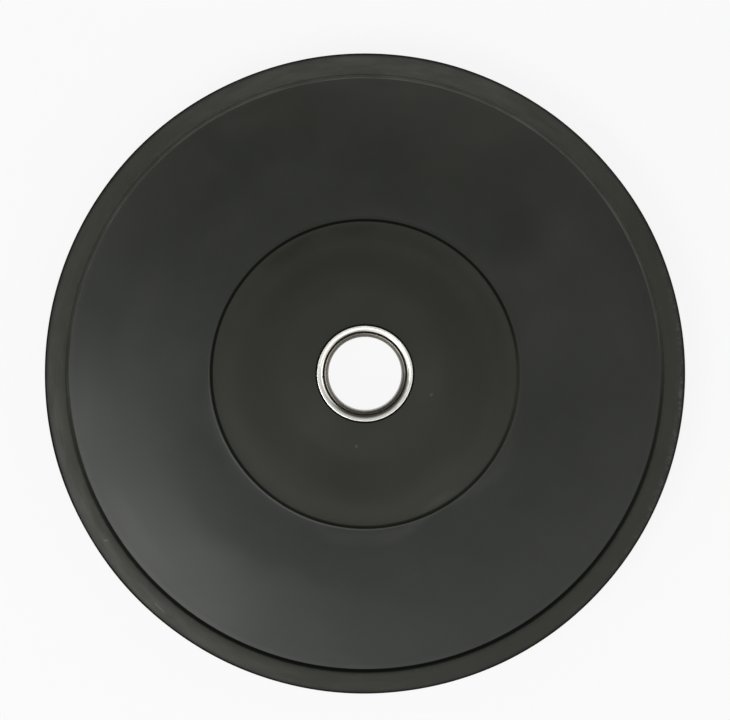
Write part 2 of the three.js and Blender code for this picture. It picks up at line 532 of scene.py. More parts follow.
def plugs(name, insert, reach, gap):
    """Round plugs on the circle of the anchor disc's holes, from -reach to reach.

    Plug k stands at angle k / number of holes of a turn. Each is a fan of triangles below, a wall
    and a fan above, so it is closed.
    """
    radius = insert.hole_radius - gap
    circle = COLLAR_RADIUS + (ANCHOR_RADIUS - COLLAR_RADIUS) / 2
    angle = np.arange(PLUG_SEGMENTS) * (TURN / PLUG_SEGMENTS)
    rim = np.stack([radius * np.cos(angle), radius * np.sin(angle)], axis=1)
    low = np.column_stack([rim, np.full(PLUG_SEGMENTS, MIDDLE - reach)])
    high = np.column_stack([rim, np.full(PLUG_SEGMENTS, MIDDLE + reach)])
    ends = np.array([(0, 0, MIDDLE - reach), (0, 0, MIDDLE + reach)])
    one = np.concatenate([low, high, ends])
    here = np.arange(PLUG_SEGMENTS)
    after = np.roll(here, -1)
    above, above_after = here + PLUG_SEGMENTS, after + PLUG_SEGMENTS
    end = np.full_like(here, 2 * PLUG_SEGMENTS)
    wall = np.stack([here, after, above_after, above], axis=1)
    under = np.stack([after, here, end], axis=1)
    over = np.stack([above, above_after, end + 1], axis=1)
    turn = np.arange(insert.holes) * (TURN / insert.holes)
    centre = np.stack([circle * np.cos(turn), circle * np.sin(turn), 0 * turn], axis=1)
    points = (one[None] + centre[:, None]).reshape(-1, 3)
    start = np.arange(insert.holes)[:, None, None] * len(one)
    faces = [
        *(wall[None] + start).reshape(-1, 4).tolist(),
        *(under[None] + start).reshape(-1, 3).tolist(),
        *(over[None] + start).reshape(-1, 3).tolist(),
    ]
    mesh = bpy.data.meshes.new(name)
    mesh.from_pydata(points.tolist(), [], faces)
    made = bpy.data.objects.new(name, mesh)
    bpy.context.scene.collection.objects.link(made)
    return made


def join_solids(piece, other):
    """Joins another closed solid into a piece for good, and deletes the other."""
    modifier = piece.modifiers.new("join", "BOOLEAN")
    modifier.operation = "UNION"
    modifier.solver = "MANIFOLD"
    modifier.object = other
    bpy.context.view_layer.update()
    evaluated = piece.evaluated_get(bpy.context.evaluated_depsgraph_get())
    joined = bpy.data.meshes.new_from_object(evaluated)
    piece.modifiers.remove(modifier)
    old, other_mesh = piece.data, other.data
    joined.name = old.name
    piece.data = joined
    bpy.data.objects.remove(other)
    bpy.data.meshes.remove(old)
    bpy.data.meshes.remove(other_mesh)


# Nodes of materials


class Wiring:
    """Adds nodes to a node tree and joins their sockets."""

    def __init__(self, tree):
        self.tree = tree

    def add(self, kind, inputs=None, **settings):
        """A node of one kind with its settings, and with values or links on its inputs."""
        made = self.tree.nodes.new(kind)
        for name, value in settings.items():
            setattr(made, name, value)
        for socket, value in (inputs or {}).items():
            self.put(value, made.inputs[socket])
        return made

    def put(self, value, socket):
        """A link from another node's output, or a plain value, on one input."""
        if isinstance(value, bpy.types.NodeSocket):
            self.tree.links.new(value, socket)
        else:
            socket.default_value = value

    def math(self, operation, first, second=0.0, third=0.0, clamp=False):
        """One step of arithmetic."""
        inputs = {0: first, 1: second}
        if operation == "MULTIPLY_ADD":
            inputs[2] = third
        made = self.add("ShaderNodeMath", inputs, operation=operation, use_clamp=clamp)
        return made.outputs[0]

    def noise(self, vector, size, detail=2.0, roughness=0.5):
        """Noise whose lumps are about as large as size, in metres, as a value near 0.5."""
        scale = 1 / size if not isinstance(size, bpy.types.NodeSocket) else (
            self.math("DIVIDE", 1.0, size)
        )
        made = self.add(
            "ShaderNodeTexNoise",
            {"Vector": vector, "Scale": scale, "Detail": detail, "Roughness": roughness},
        )
        return made.outputs[0]

    def ramp(self, value, low, high, first=0.0, last=1.0):
        """Takes a value from low to high to the range first to last, in an S-shaped course."""
        made = self.add(
            "ShaderNodeMapRange",
            {"Value": value, "From Min": low, "From Max": high, "To Min": first, "To Max": last},
            interpolation_type="SMOOTHSTEP",
        )
        return made.outputs[0]

    def mix(self, factor, first, second):
        """Two colours or two links of colours, mixed."""
        made = self.add("ShaderNodeMix", {0: factor}, data_type="RGBA")
        for value, socket in ((first, made.inputs[6]), (second, made.inputs[7])):
            if not isinstance(value, bpy.types.NodeSocket):
                value = (*value, 1.0)
            self.put(value, socket)
        return made.outputs[2]

    def group(self, tree, inputs):
        """A shared effect, with its own values."""
        made = self.add("ShaderNodeGroup", node_tree=tree)
        for name, value in inputs.items():
            self.put(value, made.inputs[name])
        return made.outputs

    def radius(self, vector):
        """Distance from the bore's axis: the length of the vector's sideways part."""
        flat = self.add(
            "ShaderNodeVectorMath", {0: vector, 1: (1.0, 1.0, 0.0)}, operation="MULTIPLY"
        )
        return self.add(
            "ShaderNodeVectorMath", {0: flat.outputs[0]}, operation="LENGTH"
        ).outputs["Value"]

    def round_about(self, vector, along, across):
        """Coordinates for streaks that run round the bore: the direction from the axis, with one
        unit for each step along a circle near the tread, and the distance over the step across."""
        flat = self.add(
            "ShaderNodeVectorMath", {0: vector, 1: (1.0, 1.0, 0.0)}, operation="MULTIPLY"
        ).outputs[0]
        unit = self.add("ShaderNodeVectorMath", {0: flat}, operation="NORMALIZE").outputs[0]
        ring = self.add(
            "ShaderNodeVectorMath", {0: unit, "Scale": PLATE_RADIUS / along}, operation="SCALE"
        ).outputs[0]
        distance = self.math("DIVIDE", self.radius(vector), across)
        outwards = self.add("ShaderNodeCombineXYZ", {2: distance}).outputs[0]
        return self.add("ShaderNodeVectorMath", {0: ring, 1: outwards}).outputs[0]

    def stretched(self, vector, turned, factors):
        """Coordinates turned by angles, then scaled along each axis."""
        turned_to = self.add(
            "ShaderNodeMapping", {"Vector": vector, "Rotation": turned, "Scale": factors}
        )
        return turned_to.outputs[0]


def new_group(name, inputs, outputs):
    """An empty shader node group with named sockets, and its wiring and its two end nodes."""
    tree = bpy.data.node_groups.new(name, "ShaderNodeTree")
    for socket, kind, default in inputs:
        made = tree.interface.new_socket(socket, in_out="INPUT", socket_type=kind)
        if default is not None:
            made.default_value = default
    for socket, kind in outputs:
        tree.interface.new_socket(socket, in_out="OUTPUT", socket_type=kind)
    wire = Wiring(tree)
    return tree, wire, wire.add("NodeGroupInput").outputs, wire.add("NodeGroupOutput").inputs


def shared_group(name, build):
    """A node group by its name, built the first time it is asked for."""
    return bpy.data.node_groups.get(name) or build(name)


# Between which values most of the noise lies, and the parts of them over which streaks run from
# one tone to the other, turned rings fade in, specks and dirt gather, and edges are worn
NOISE_SPAN = (0.25, 0.75)
STREAK_SPAN = (0.3, 0.7)
RING_FADE = (0.35, 0.65)
GATHERING = (0.35, 0.7)
RAGGED_WEAR = (0.42, 0.72)

# Scratches: the turns of their three directions, how many of its widths the noise is stretched
# over, how near its middle value a scratch ends, how large the clouds are that show some of them,
# and the clouds' value at which they begin to show, how far a larger share lowers it and how
# quickly they come in
SCRATCH_TURNS = (0.35, 1.45, 2.6)
SCRATCH_WIDTHS = 6.0
SCRATCH_END = 0.018
SCRATCH_CLOUDS = 30 * MM
SCRATCH_LIMIT, SCRATCH_LIMIT_FALL, SCRATCH_GAIN = 0.75, 0.4, 6.0

# The clouds that fade the turned rings, and those that gather the specks
RING_CLOUDS = 20 * MM
SPECK_CLOUDS = 60 * MM

# A speck's size in widths of a cell of the noise, and how far from the cell's point it ends
SPECK_CELL_SHARE = 0.25
SPECK_END = (0.04, 0.14)

# Rubbed marks: how large the noise is that breaks their outline, how strong it is, and between
# which shares of the width they end
RUB_LUMPS = 1.8 * MM
RUB_BREAKING = 1.6
RUB_END = (0.35, 1.0)


def build_mottle(name):
    """Clouds: slow noise of one size, stretched to 0 to 1. Grain: fine noise, left near 0.5."""
    tree, wire, given, result = new_group(
        name,
        [("Vector", "NodeSocketVector", None), ("Cloud Size", "NodeSocketFloat", 0.08),
         ("Grain Size", "NodeSocketFloat", 0.0006)],
        [("Clouds", "NodeSocketFloat"), ("Grain", "NodeSocketFloat")],
    )
    clouds = wire.noise(given["Vector"], given["Cloud Size"], detail=3.0, roughness=0.55)
    wire.put(wire.ramp(clouds, *NOISE_SPAN), result["Clouds"])
    wire.put(wire.noise(given["Vector"], given["Grain Size"], roughness=0.6), result["Grain"])
    return tree


def build_scratches(name):
    """Fine straight scratches: noise stretched along one direction, kept where it crosses its
    middle value, three times over in different directions, and only inside sparse clouds."""
    tree, wire, given, result = new_group(
        name,
        [("Vector", "NodeSocketVector", None), ("Length", "NodeSocketFloat", 0.02),
         ("Width", "NodeSocketFloat", 0.0004), ("Share", "NodeSocketFloat", 0.4)],
        [("Scratches", "NodeSocketFloat")],
    )
    total = None
    for turned in SCRATCH_TURNS:
        along = wire.stretched(given["Vector"], (0.0, 0.0, turned), (1.0, 1.0, 1.0))
        parts = wire.add("ShaderNodeSeparateXYZ", {0: along}).outputs
        x = wire.math("DIVIDE", parts[0], given["Length"])
        y = wire.math("DIVIDE", parts[1], wire.math("MULTIPLY", given["Width"], SCRATCH_WIDTHS))
        z = wire.math("DIVIDE", parts[2], given["Length"])
        lined = wire.add("ShaderNodeCombineXYZ", {0: x, 1: y, 2: z}).outputs[0]
        crossing = wire.math("SUBTRACT", wire.noise(lined, 1.0, detail=1.0), 0.5)
        thin = wire.ramp(wire.math("ABSOLUTE", crossing), 0.0, SCRATCH_END, 1.0, 0.0)
        patch = wire.noise(along, SCRATCH_CLOUDS, detail=1.0)
        fall = wire.math("MULTIPLY", given["Share"], SCRATCH_LIMIT_FALL)
        limit = wire.math("SUBTRACT", SCRATCH_LIMIT, fall)
        shown = wire.math("SUBTRACT", patch, limit, clamp=True)
        shown = wire.math("MULTIPLY", shown, SCRATCH_GAIN, clamp=True)
        kept = wire.math("MULTIPLY", thin, shown)
        total = kept if total is None else wire.math("MAXIMUM", total, kept)
    wire.put(total, result["Scratches"])
    return tree


def build_rings(name):
    """The marks of a turning tool: noise of the distance from the bore's axis alone, fine and
    coarse together, and a slower noise that fades them in and out round the face."""
    tree, wire, given, result = new_group(
        name,
        [("Vector", "NodeSocketVector", None), ("Pitch", "NodeSocketFloat", 0.0003)],
        [("Rings", "NodeSocketFloat"), ("Fade", "NodeSocketFloat")],
    )
    distance = wire.math("DIVIDE", wire.radius(given["Vector"]), given["Pitch"])
    lines = wire.add(
        "ShaderNodeTexNoise", {"W": distance, "Scale": 1.0, "Detail": 3.0, "Roughness": 0.6},
        noise_dimensions="1D",
    ).outputs[0]
    wire.put(lines, result["Rings"])
    wire.put(wire.ramp(wire.noise(given["Vector"], RING_CLOUDS), *RING_FADE), result["Fade"])
    return tree


def build_specks(name):
    """Dust and grit: small round spots of noise cells, kept where a cell's own random value is
    below the share, and gathered by slow clouds."""
    tree, wire, given, result = new_group(
        name,
        [("Vector", "NodeSocketVector", None), ("Size", "NodeSocketFloat", 0.0012),
         ("Share", "NodeSocketFloat", 0.15)],
        [("Specks", "NodeSocketFloat")],
    )
    scale = wire.math("DIVIDE", SPECK_CELL_SHARE, given["Size"])
    cells = wire.add("ShaderNodeTexVoronoi", {"Vector": given["Vector"], "Scale": scale})
    near = wire.ramp(cells.outputs["Distance"], *SPECK_END, 1.0, 0.0)
    pick = wire.add("ShaderNodeSeparateColor", {0: cells.outputs["Color"]}).outputs[0]
    chosen = wire.math("LESS_THAN", pick, given["Share"])
    gathered = wire.ramp(wire.noise(given["Vector"], SPECK_CLOUDS), *GATHERING)
    kept = wire.math("MULTIPLY", wire.math("MULTIPLY", near, chosen), gathered)
    wire.put(kept, result["Specks"])
    return tree


def build_rub(name):
    """A rubbed mark: 1 on the line from its start along its run, falling to 0 at its width, with
    an outline broken by noise. The nearest point of the line lies the share (place - start) . run
    / run . run of the run from its start, held between 0 and 1."""
    tree, wire, given, result = new_group(
        name,
        [("Vector", "NodeSocketVector", None), ("Start", "NodeSocketVector", None),
         ("Run", "NodeSocketVector", None), ("Width", "NodeSocketFloat", 0.004)],
        [("Rub", "NodeSocketFloat")],
    )

    def vector_math(operation, first, second, result="Vector"):
        inputs = {0: first, "Scale" if operation == "SCALE" else 1: second}
        return wire.add("ShaderNodeVectorMath", inputs, operation=operation).outputs[result]

    run = given["Run"]
    off = vector_math("SUBTRACT", given["Vector"], given["Start"])
    share_along = wire.math(
        "DIVIDE", vector_math("DOT_PRODUCT", off, run, "Value"),
        vector_math("DOT_PRODUCT", run, run, "Value"), clamp=True,
    )
    nearest = vector_math("SCALE", run, share_along)
    away = vector_math("DISTANCE", off, nearest, "Value")
    share_away = wire.math("DIVIDE", away, given["Width"])
    broken = wire.noise(given["Vector"], RUB_LUMPS, detail=3.0, roughness=0.65)
    broken = wire.math("SUBTRACT", broken, 0.5)
    edge = wire.math("MULTIPLY_ADD", broken, RUB_BREAKING, share_away)
    wire.put(wire.ramp(edge, *RUB_END, 1.0, 0.0), result["Rub"])
    return tree


def new_material(name):
    """A material with its wiring, its Principled shader and the object's own coordinates."""
    material = bpy.data.materials.new(name)
    material.use_nodes = True
    material.node_tree.nodes.clear()
    wire = Wiring(material.node_tree)
    shader = wire.add("ShaderNodeBsdfPrincipled")
    wire.add("ShaderNodeOutputMaterial", {"Surface": shader.outputs[0]})
    return material, wire, shader.inputs, wire.add("ShaderNodeTexCoord").outputs["Object"]


def mottle(wire, place, clouds, grain):
    """Slow clouds and fine grain, each with lumps of its own size."""
    return wire.group(
        shared_group("Mottle", build_mottle),
        {"Vector": place, "Cloud Size": clouds, "Grain Size": grain},
    )


def specks(wire, place, size, portion):
    """Grit of one size, in a portion of the noise's cells."""
    return wire.group(
        shared_group("Specks", build_specks), {"Vector": place, "Size": size, "Share": portion}
    )["Specks"]


def scratches(wire, place, along, width, portion):
    """Scratches of one length and width, more of them with a larger portion."""
    return wire.group(
        shared_group("Scratches", build_scratches),
        {"Vector": place, "Length": along, "Width": width, "Share": portion},
    )["Scratches"]


def turned_rings(wire, place, pitch):
    """The rings that a turning tool leaves, one pitch apart, and how they fade in and out."""
    return wire.group(
        shared_group("Turned rings", build_rings), {"Vector": place, "Pitch": pitch}
    )


def attribute(wire, name):
    """A value that the mesh keeps for each point."""
    return wire.add("ShaderNodeAttribute", attribute_name=name).outputs["Fac"]


def bump(wire, height, distance, strength=1.0, normal=None):
    """A bump of a height field, in metres, on top of another bump where one is given."""
    inputs = {"Height": height, "Distance": distance, "Strength": strength}
    if normal is not None:
        inputs["Normal"] = normal
    return wire.add("ShaderNodeBump", inputs).outputs[0]


# Places on rim, hub and tread where the rubber is rubbed pale, in millimetres: where the mark
# starts, how far it runs, how wide it is, and how pale
RUBBED = (
    ((-182.7, -117.3, 46), (1.6, 0.2, 0), 1.1, 0.5),
    ((-147.0, -161.4, 46), (5.8, -6.0, 0), 0.95, 0.38),
    ((46.6, -15.0, 46), (0.3, 0.2, 0), 1.3, 0.4),
    ((-6.0, -51.5, 46), (0.2, 0.6, 0), 1.5, 0.3),
    ((141.0, 165.0, 0), (-3.0, 2.5, 0), 2.4, 0.8),
    ((-96.0, 199.0, 0), (4.0, 2.0, 0), 1.9, 0.7),
    ((225.0, 12.0, 31), (0.0, 5.0, -2), 2.6, 0.7),
    ((-118.0, -191.0, 18), (5.0, -3.0, 2), 2.2, 0.8),
    ((60.0, -217.0, 12), (3.0, 0.9, 3), 2.2, 0.7),
)


# The rubber's look besides its finish: how pale grit, scratches and slow clouds make it, how much
# clouds and grain darken it at most, how much of the dust and painted sheen stays between the
# streaks and on them, how much rougher clouds, pale places and painted shade make it, how dark the
# painted shade is, and the strength and the slightly cold tint of its gloss
GRIT_PALENESS, SCRATCH_PALENESS, CLOUD_PALENESS = 0.35, 0.06, 0.02
MOST_DARKENED = 0.26
DUST_AND_SHEEN_IN_STREAKS = (0.50, 0.85)
CLOUD_ROUGHNESS, PALE_ROUGHNESS, CREASE_ROUGHNESS = 0.03, 0.15, 0.4
PAINTED_SHADE_TONE = (0.002, 0.002, 0.002)
RUBBER_SPECULAR = 0.15
RUBBER_TINT = (0.95, 1.0, 1.03, 1.0)

# The steels' looks besides their finish: how many times as bright their duller or paler parts are,
# the colours of the turned rings, of rust and of grit with how much of each shows at most, and how
# much smears dull the tube at most
DULL_BRIGHT, DULL_DRAWN, PALE_ROLLED = 0.86, 0.6, 2.2
RING_TONE, RING_SHARE = (0.55, 0.54, 0.52), 0.16
RUST_TONE, RUST_SHARE = (0.16, 0.09, 0.05), 0.4
GRIT_TONE, GRIT_SHARE = (0.05, 0.03, 0.02), 0.6
SMEARED_SHARE = 0.35

# How much painted shade shows at edges, how much dirt as grit, and the shade's share where it is
# thin
SHADE_SHARE, DIRT_GRIT_SHARE, PATCHY_SHADE = 0.8, 0.5, 0.5

# How much rougher painted shade, grit and scratches make the steel, how far clouds and streaks
# take it from its finish's roughness, and how rough and how metallic the rolled steel is, clear
# and scaled
DARKENED_ROUGHNESS, SCRATCH_ROUGHNESS = 0.3, 0.15
BRIGHT_ROUGHNESS_RANGE = (0.06, -0.03)
DRAWN_ROUGHNESS_RANGE = (0.1, -0.05)
ROLLED_ROUGHNESS = (0.5, 0.68)
ROLLED_METALLIC = (0.9, 0.55)


def rubber_material(finish):
    """Moulded black rubber: smoother webs, faint clouds, grit, pale rubbed edges, painted light
    and shade.
    """
    material, wire, shader, place = new_material("Moulded rubber")
    mottled = mottle(wire, place, 70 * MM, 0.7 * MM)
    grit = specks(wire, place, 0.7 * MM, 0.10)
    lines = scratches(wire, place, 30 * MM, 0.35 * MM, 0.35)
    rings = turned_rings(wire, place, 1.1 * MM)
    web = attribute(wire, "web")
    # Rubbed edges, and a painted highlight on the shoulder's lit side
    edge = attribute(wire, "edge")
    # Painted shade, near black, in groove, rim's wall, shoulder, rim's lip and beside the steel
    crease = attribute(wire, "crease")
    # Dust, with painted sheen on two sides of the rim and painted light on the wall's lit side
    dust = attribute(wire, "dust")
    # Haze, with painted sheen and highlights on hub, web, rim's foot and bevel
    veil = attribute(wire, "veil")

    rubbed = None
    for start, run, width, amount in RUBBED:
        rub = wire.group(
            shared_group("Rubbed mark", build_rub),
            {"Vector": place, "Start": [MM * part for part in start],
             "Run": [MM * part for part in run], "Width": width * MM},
        )["Rub"]
        rub = wire.math("MULTIPLY", rub, amount)
        rubbed = rub if rubbed is None else wire.math("MAXIMUM", rubbed, rub)

    ragged = wire.ramp(wire.noise(place, 4 * MM, detail=4.0, roughness=0.7), *RAGGED_WEAR)
    worn_and_lit = wire.math("MULTIPLY", wire.math("MULTIPLY", edge, ragged), finish.wear_and_highlight)
    pale = wire.math("MAXIMUM", worn_and_lit, rubbed)
    pale = wire.math("MAXIMUM", pale, wire.math("MULTIPLY", grit, GRIT_PALENESS))
    pale = wire.math("MAXIMUM", pale, wire.math("MULTIPLY", lines, SCRATCH_PALENESS))
    round_about = wire.round_about(place, 26 * MM, 5 * MM)
    streaks = wire.noise(round_about, 1.0, detail=3.0, roughness=0.6)
    # Dust and its painted sheen drift in streaks round the bore
    drift = wire.ramp(streaks, *STREAK_SPAN, *DUST_AND_SHEEN_IN_STREAKS)
    haze_and_sheen = wire.math("MULTIPLY_ADD", dust, drift, veil)
    haze_and_sheen = wire.math("MULTIPLY", haze_and_sheen, finish.dust)
    haze_and_sheen = wire.math("MULTIPLY_ADD", mottled["Clouds"], CLOUD_PALENESS, haze_and_sheen)
    pale = wire.math("ADD", pale, haze_and_sheen, clamp=True)
    tone = wire.mix(web, tuple(finish.tone), tuple(finish.web_tone))
    clean_and_shade = wire.math("ADD", mottled["Grain"], mottled["Clouds"])
    tone = wire.mix(wire.ramp(clean_and_shade, 0.0, 2.0, MOST_DARKENED, 0.0), tone, (0.0, 0.0, 0.0))
    tone = wire.mix(pale, tone, tuple(finish.bloom_and_sheen))
    # Painted shade: the tone goes near black where the mesh carries it
    wire.put(wire.mix(crease, tone, PAINTED_SHADE_TONE), shader["Base Color"])

    rough = wire.ramp(web, 0.0, 1.0, finish.face_roughness, finish.web_roughness)
    centred = wire.math("SUBTRACT", mottled["Clouds"], 0.5)
    rough = wire.math("MULTIPLY_ADD", centred, CLOUD_ROUGHNESS, rough)
    rough = wire.math("MULTIPLY_ADD", pale, PALE_ROUGHNESS, rough, clamp=True)
    rough = wire.math("MULTIPLY_ADD", crease, CREASE_ROUGHNESS, rough, clamp=True)
    wire.put(rough, shader["Roughness"])
    shader["Specular IOR Level"].default_value = RUBBER_SPECULAR
    shader["Specular Tint"].default_value = RUBBER_TINT

    fine = bump(wire, mottled["Grain"], 0.05 * MM, 0.5)
    slow = bump(wire, wire.noise(place, 9 * MM), 0.08 * MM, 0.5, fine)
    turned = wire.math("MULTIPLY", rings["Rings"], rings["Fade"])
    ringed = bump(wire, turned, 0.02 * MM, 0.4, slow)
    wire.put(bump(wire, lines, -0.05 * MM, 0.25, ringed), shader["Normal"])
    return material


def bright_material(finish):
    """Turned bright steel: rings from the tool, smudges, scratches, grit, and painted shade at its
    edges.
    """
    material, wire, shader, place = new_material("Turned bright steel")
    rings = turned_rings(wire, place, 0.35 * MM)["Rings"]
    mottled = mottle(wire, place, 9 * MM, 0.5 * MM)
    lines = scratches(wire, place, 8 * MM, 0.12 * MM, 0.6)
    grit = specks(wire, place, 0.3 * MM, 0.25)
    crease = attribute(wire, "crease")
    dull = tuple(DULL_BRIGHT * part for part in finish.bright)
    tone = wire.mix(mottled["Clouds"], dull, tuple(finish.bright))
    tone = wire.mix(wire.math("MULTIPLY", rings, RING_SHARE), tone, RING_TONE)
    # Painted shade at the edges, in patches, with real grit on top
    patchy = wire.ramp(mottled["Grain"], *GATHERING, PATCHY_SHADE, 1.0)
    darkened = wire.math("MULTIPLY", crease, patchy)
    darkened = wire.math("MULTIPLY", darkened, SHADE_SHARE)
    darkened = wire.math("MAXIMUM", darkened, wire.math("MULTIPLY", grit, DIRT_GRIT_SHARE))
    wire.put(wire.mix(darkened, tone, tuple(finish.dirt_and_shade)), shader["Base Color"])
    shader["Metallic"].default_value = 1.0
    roughest, smoothest = (finish.bright_roughness + more for more in BRIGHT_ROUGHNESS_RANGE)
    rough = wire.ramp(mottled["Clouds"], 0.0, 1.0, roughest, smoothest)
    rough = wire.math("MULTIPLY_ADD", lines, SCRATCH_ROUGHNESS, rough)
    rough = wire.math("MULTIPLY_ADD", darkened, DARKENED_ROUGHNESS, rough, clamp=True)
    wire.put(rough, shader["Roughness"])
    turned = bump(wire, rings, 0.012 * MM, 0.5)
    wire.put(bump(wire, lines, -0.02 * MM, 0.5, turned), shader["Normal"])
    return material


def drawn_material(finish):
    """Drawn tube: streaks along the bore, with grey smears and turned, polished ends."""
    material, wire, shader, place = new_material("Drawn steel tube")
    streaked = wire.stretched(place, (0.0, 0.0, 0.0), (1.0, 1.0, 0.03))
    streaks = wire.noise(streaked, 0.7 * MM, detail=3.0, roughness=0.6)
    mottled = mottle(wire, place, 12 * MM, 0.4 * MM)
    rings = turned_rings(wire, place, 0.3 * MM)["Rings"]
    lines = scratches(wire, place, 10 * MM, 0.15 * MM, 0.8)
    crease = attribute(wire, "crease")
    dull = tuple(DULL_DRAWN * part for part in finish.drawn)
    tone = wire.mix(wire.ramp(streaks, *STREAK_SPAN), dull, tuple(finish.drawn))
    tone = wire.mix(wire.math("MULTIPLY", mottled["Clouds"], SMEARED_SHARE), tone, dull)
    # Painted shade outside the ends and on one side of the flares
    darkened = wire.math("MULTIPLY", crease, SHADE_SHARE)
    wire.put(wire.mix(darkened, tone, tuple(finish.dirt_and_shade)), shader["Base Color"])
    shader["Metallic"].default_value = 1.0
    roughest, smoothest = (finish.drawn_roughness + more for more in DRAWN_ROUGHNESS_RANGE)
    rough = wire.ramp(streaks, *STREAK_SPAN, roughest, smoothest)
    rough = wire.math("MULTIPLY_ADD", crease, DARKENED_ROUGHNESS, rough, clamp=True)
    wire.put(rough, shader["Roughness"])
    lengthwise = bump(wire, streaks, 0.02 * MM, 0.6)
    turned = bump(wire, rings, 0.008 * MM, 0.4, lengthwise)
    wire.put(bump(wire, lines, -0.02 * MM, 0.5, turned), shader["Normal"])
    return material


def rolled_material(finish):
    """Steel as it was rolled: dark scale with streaks, patches and grit."""
    material, wire, shader, place = new_material("Rolled steel")
    rolled = wire.stretched(place, (0.0, 0.0, 0.3), (0.06, 1.0, 1.0))
    streaks = wire.noise(rolled, 1.5 * MM, detail=4.0, roughness=0.65)
    mottled = mottle(wire, place, 18 * MM, 0.6 * MM)
    grit = specks(wire, place, 0.8 * MM, 0.3)
    pale = tuple(PALE_ROLLED * part for part in finish.rolled)
    tone = wire.mix(wire.ramp(streaks, *GATHERING), tuple(finish.rolled), pale)
    tone = wire.mix(wire.math("MULTIPLY", mottled["Clouds"], RUST_SHARE), tone, RUST_TONE)
    tone = wire.mix(wire.math("MULTIPLY", grit, GRIT_SHARE), tone, GRIT_TONE)
    wire.put(tone, shader["Base Color"])
    wire.put(wire.ramp(mottled["Clouds"], 0.0, 1.0, *ROLLED_ROUGHNESS), shader["Roughness"])
    wire.put(wire.ramp(mottled["Clouds"], 0.0, 1.0, *ROLLED_METALLIC), shader["Metallic"])
    scaled = bump(wire, mottled["Grain"], 0.05 * MM, 0.5)
    wire.put(bump(wire, streaks, 0.04 * MM, 0.5, scaled), shader["Normal"])
    return material


# Where the marks of the moulding lie

# Where the rim and web carry painted sheen, laid on as more dust: direction from the bore, how far
# it spreads, how much, and how far from the rim's lip it reaches that much
SHEEN_SIDES = (
    (-146 * DEGREE, 42 * DEGREE, 0.82, 10 * MM),
    (88 * DEGREE, 38 * DEGREE, 0.46, 2 * MM),
)

# Directions from the bore to the sides of the rim's wall, of its lip, of the shoulder and of the
# groove that carry the most painted shade
WALL_DARK_SIDE = -80 * DEGREE
LIP_DARK_SIDE = -80 * DEGREE
SHOULDER_DARK_SIDE = -135 * DEGREE
GROOVE_DARK_SIDE = 97 * DEGREE

# Directions to the sides of hub, of the corner at the rim's foot and of the bevel that carry
# painted light, to the groove's paler side, and to the bevel's brightest painted highlight
HUB_LIT_SIDE = -105 * DEGREE
CORNER_LIT_SIDE = -90 * DEGREE
BEVEL_LIT_SIDE = -60 * DEGREE
BEVEL_BRIGHTEST_SIDE = -125 * DEGREE
GROOVE_PALE_SIDE = -5 * DEGREE

# How far round from there the groove is paler, and how far round its painted shade is taken away
GROOVE_PALE_SPREAD = 24 * DEGREE
GROOVE_CLEAR_SPREAD = 20 * DEGREE

# The side on which the shoulder carries a painted highlight, and how far round
SHOULDER_LIT_SIDE = -8 * DEGREE
SHOULDER_LIT_SPREAD = 22 * DEGREE

# Rings that the marks of the moulding fill: from which distance to which, counted outwards from
# the edge that the comment names, and how softly they end
SHOULDER_RING = (-3.0 * MM, -1.9 * MM, 0.6 * MM)  # the tread
LIP_RING = (1.6 * MM, 3.2 * MM, 1.0 * MM)  # the rim's foot
LIP_DARK_RING = (1.4 * MM, 3.2 * MM, 1.0 * MM)  # the rim's foot
FOOT_RING = (-0.28 * MM, 0.0, 0.2 * MM)  # the rim's foot
CORNER_RING = (-1.7 * MM, -0.8 * MM, 0.5 * MM)  # the rim's foot
BEVEL_RING = (0.1 * MM, 0.9 * MM, 0.3 * MM)  # the groove's outer edge
HUB_LIP_RING = (0.8 * MM, 1.3 * MM, 0.4 * MM)  # the groove's middle, on both sides of it
GROOVE_RING = (0.0, 0.9 * MM, 0.3 * MM)  # the groove's middle, on both sides of it
HUB_RING = (66 * MM, 82 * MM, 10 * MM)  # the bore's axis

# How far the web's gloss and the wall's marks stay inside their inner and outer edges, or below 0
# reach past them, and how softly they end
WEB_GLOSS_MARGINS = (0.6 * MM, 0.2 * MM, 0.3 * MM)
WALL_MARGINS = (-0.1 * MM, 0.6 * MM, 0.4 * MM)

# Rises from 0 to 1 between two distances, outwards from the edge that the comment names
SEAM_RISE = (0.05 * MM, 0.15 * MM)  # the tread
TREAD_DARK_RISE = (-1.9 * MM, -0.9 * MM)  # the tread
SHOULDER_DARK_RISE = (-3.6 * MM, -2.2 * MM)  # the tread
RIM_RISE = (-0.5 * MM, 0.5 * MM)  # the rim's lip
WEB_OUTER_RISE = (140 * MM, 203 * MM)  # the bore's axis
BORE_SHADE_RISE = (0.2 * MM, 0.9 * MM)  # the rubber's bore
HUB_END_RISE = (-2 * MM, 0.0)  # the hub's edge

# Depths under a face between which marks fade out, and in the groove between which one sets in
WEB_DEPTHS = (8 * MM, 9 * MM)
MARK_DEPTHS = (4 * MM, 5 * MM)
LIP_DEPTHS = (1.2 * MM, 2.6 * MM)
HUB_LIP_DEPTHS = (0.4 * MM, 0.8 * MM)
DARK_DEPTHS = (1.6 * MM, 3.4 * MM)
GROOVE_DEPTHS = (0.5 * MM, 1.1 * MM)

# How strong the marks are, where 1 is a whole one. The painted highlight on the shoulder's lit
# side is strong, because the material takes only a small share of this mark.
SHOULDER_WEAR, SHOULDER_HIGHLIGHT = 0.3, 3.0
LIP_WEAR, HUB_LIP_WEAR, SEAM_WEAR = 0.4, 0.35, 0.8
# How dark the painted shade makes the tread, the shoulder's dark side and the rim's lip
TREAD_DARKNESS, SHOULDER_DARKNESS, LIP_DARKNESS = 0.75, 0.25, 0.2
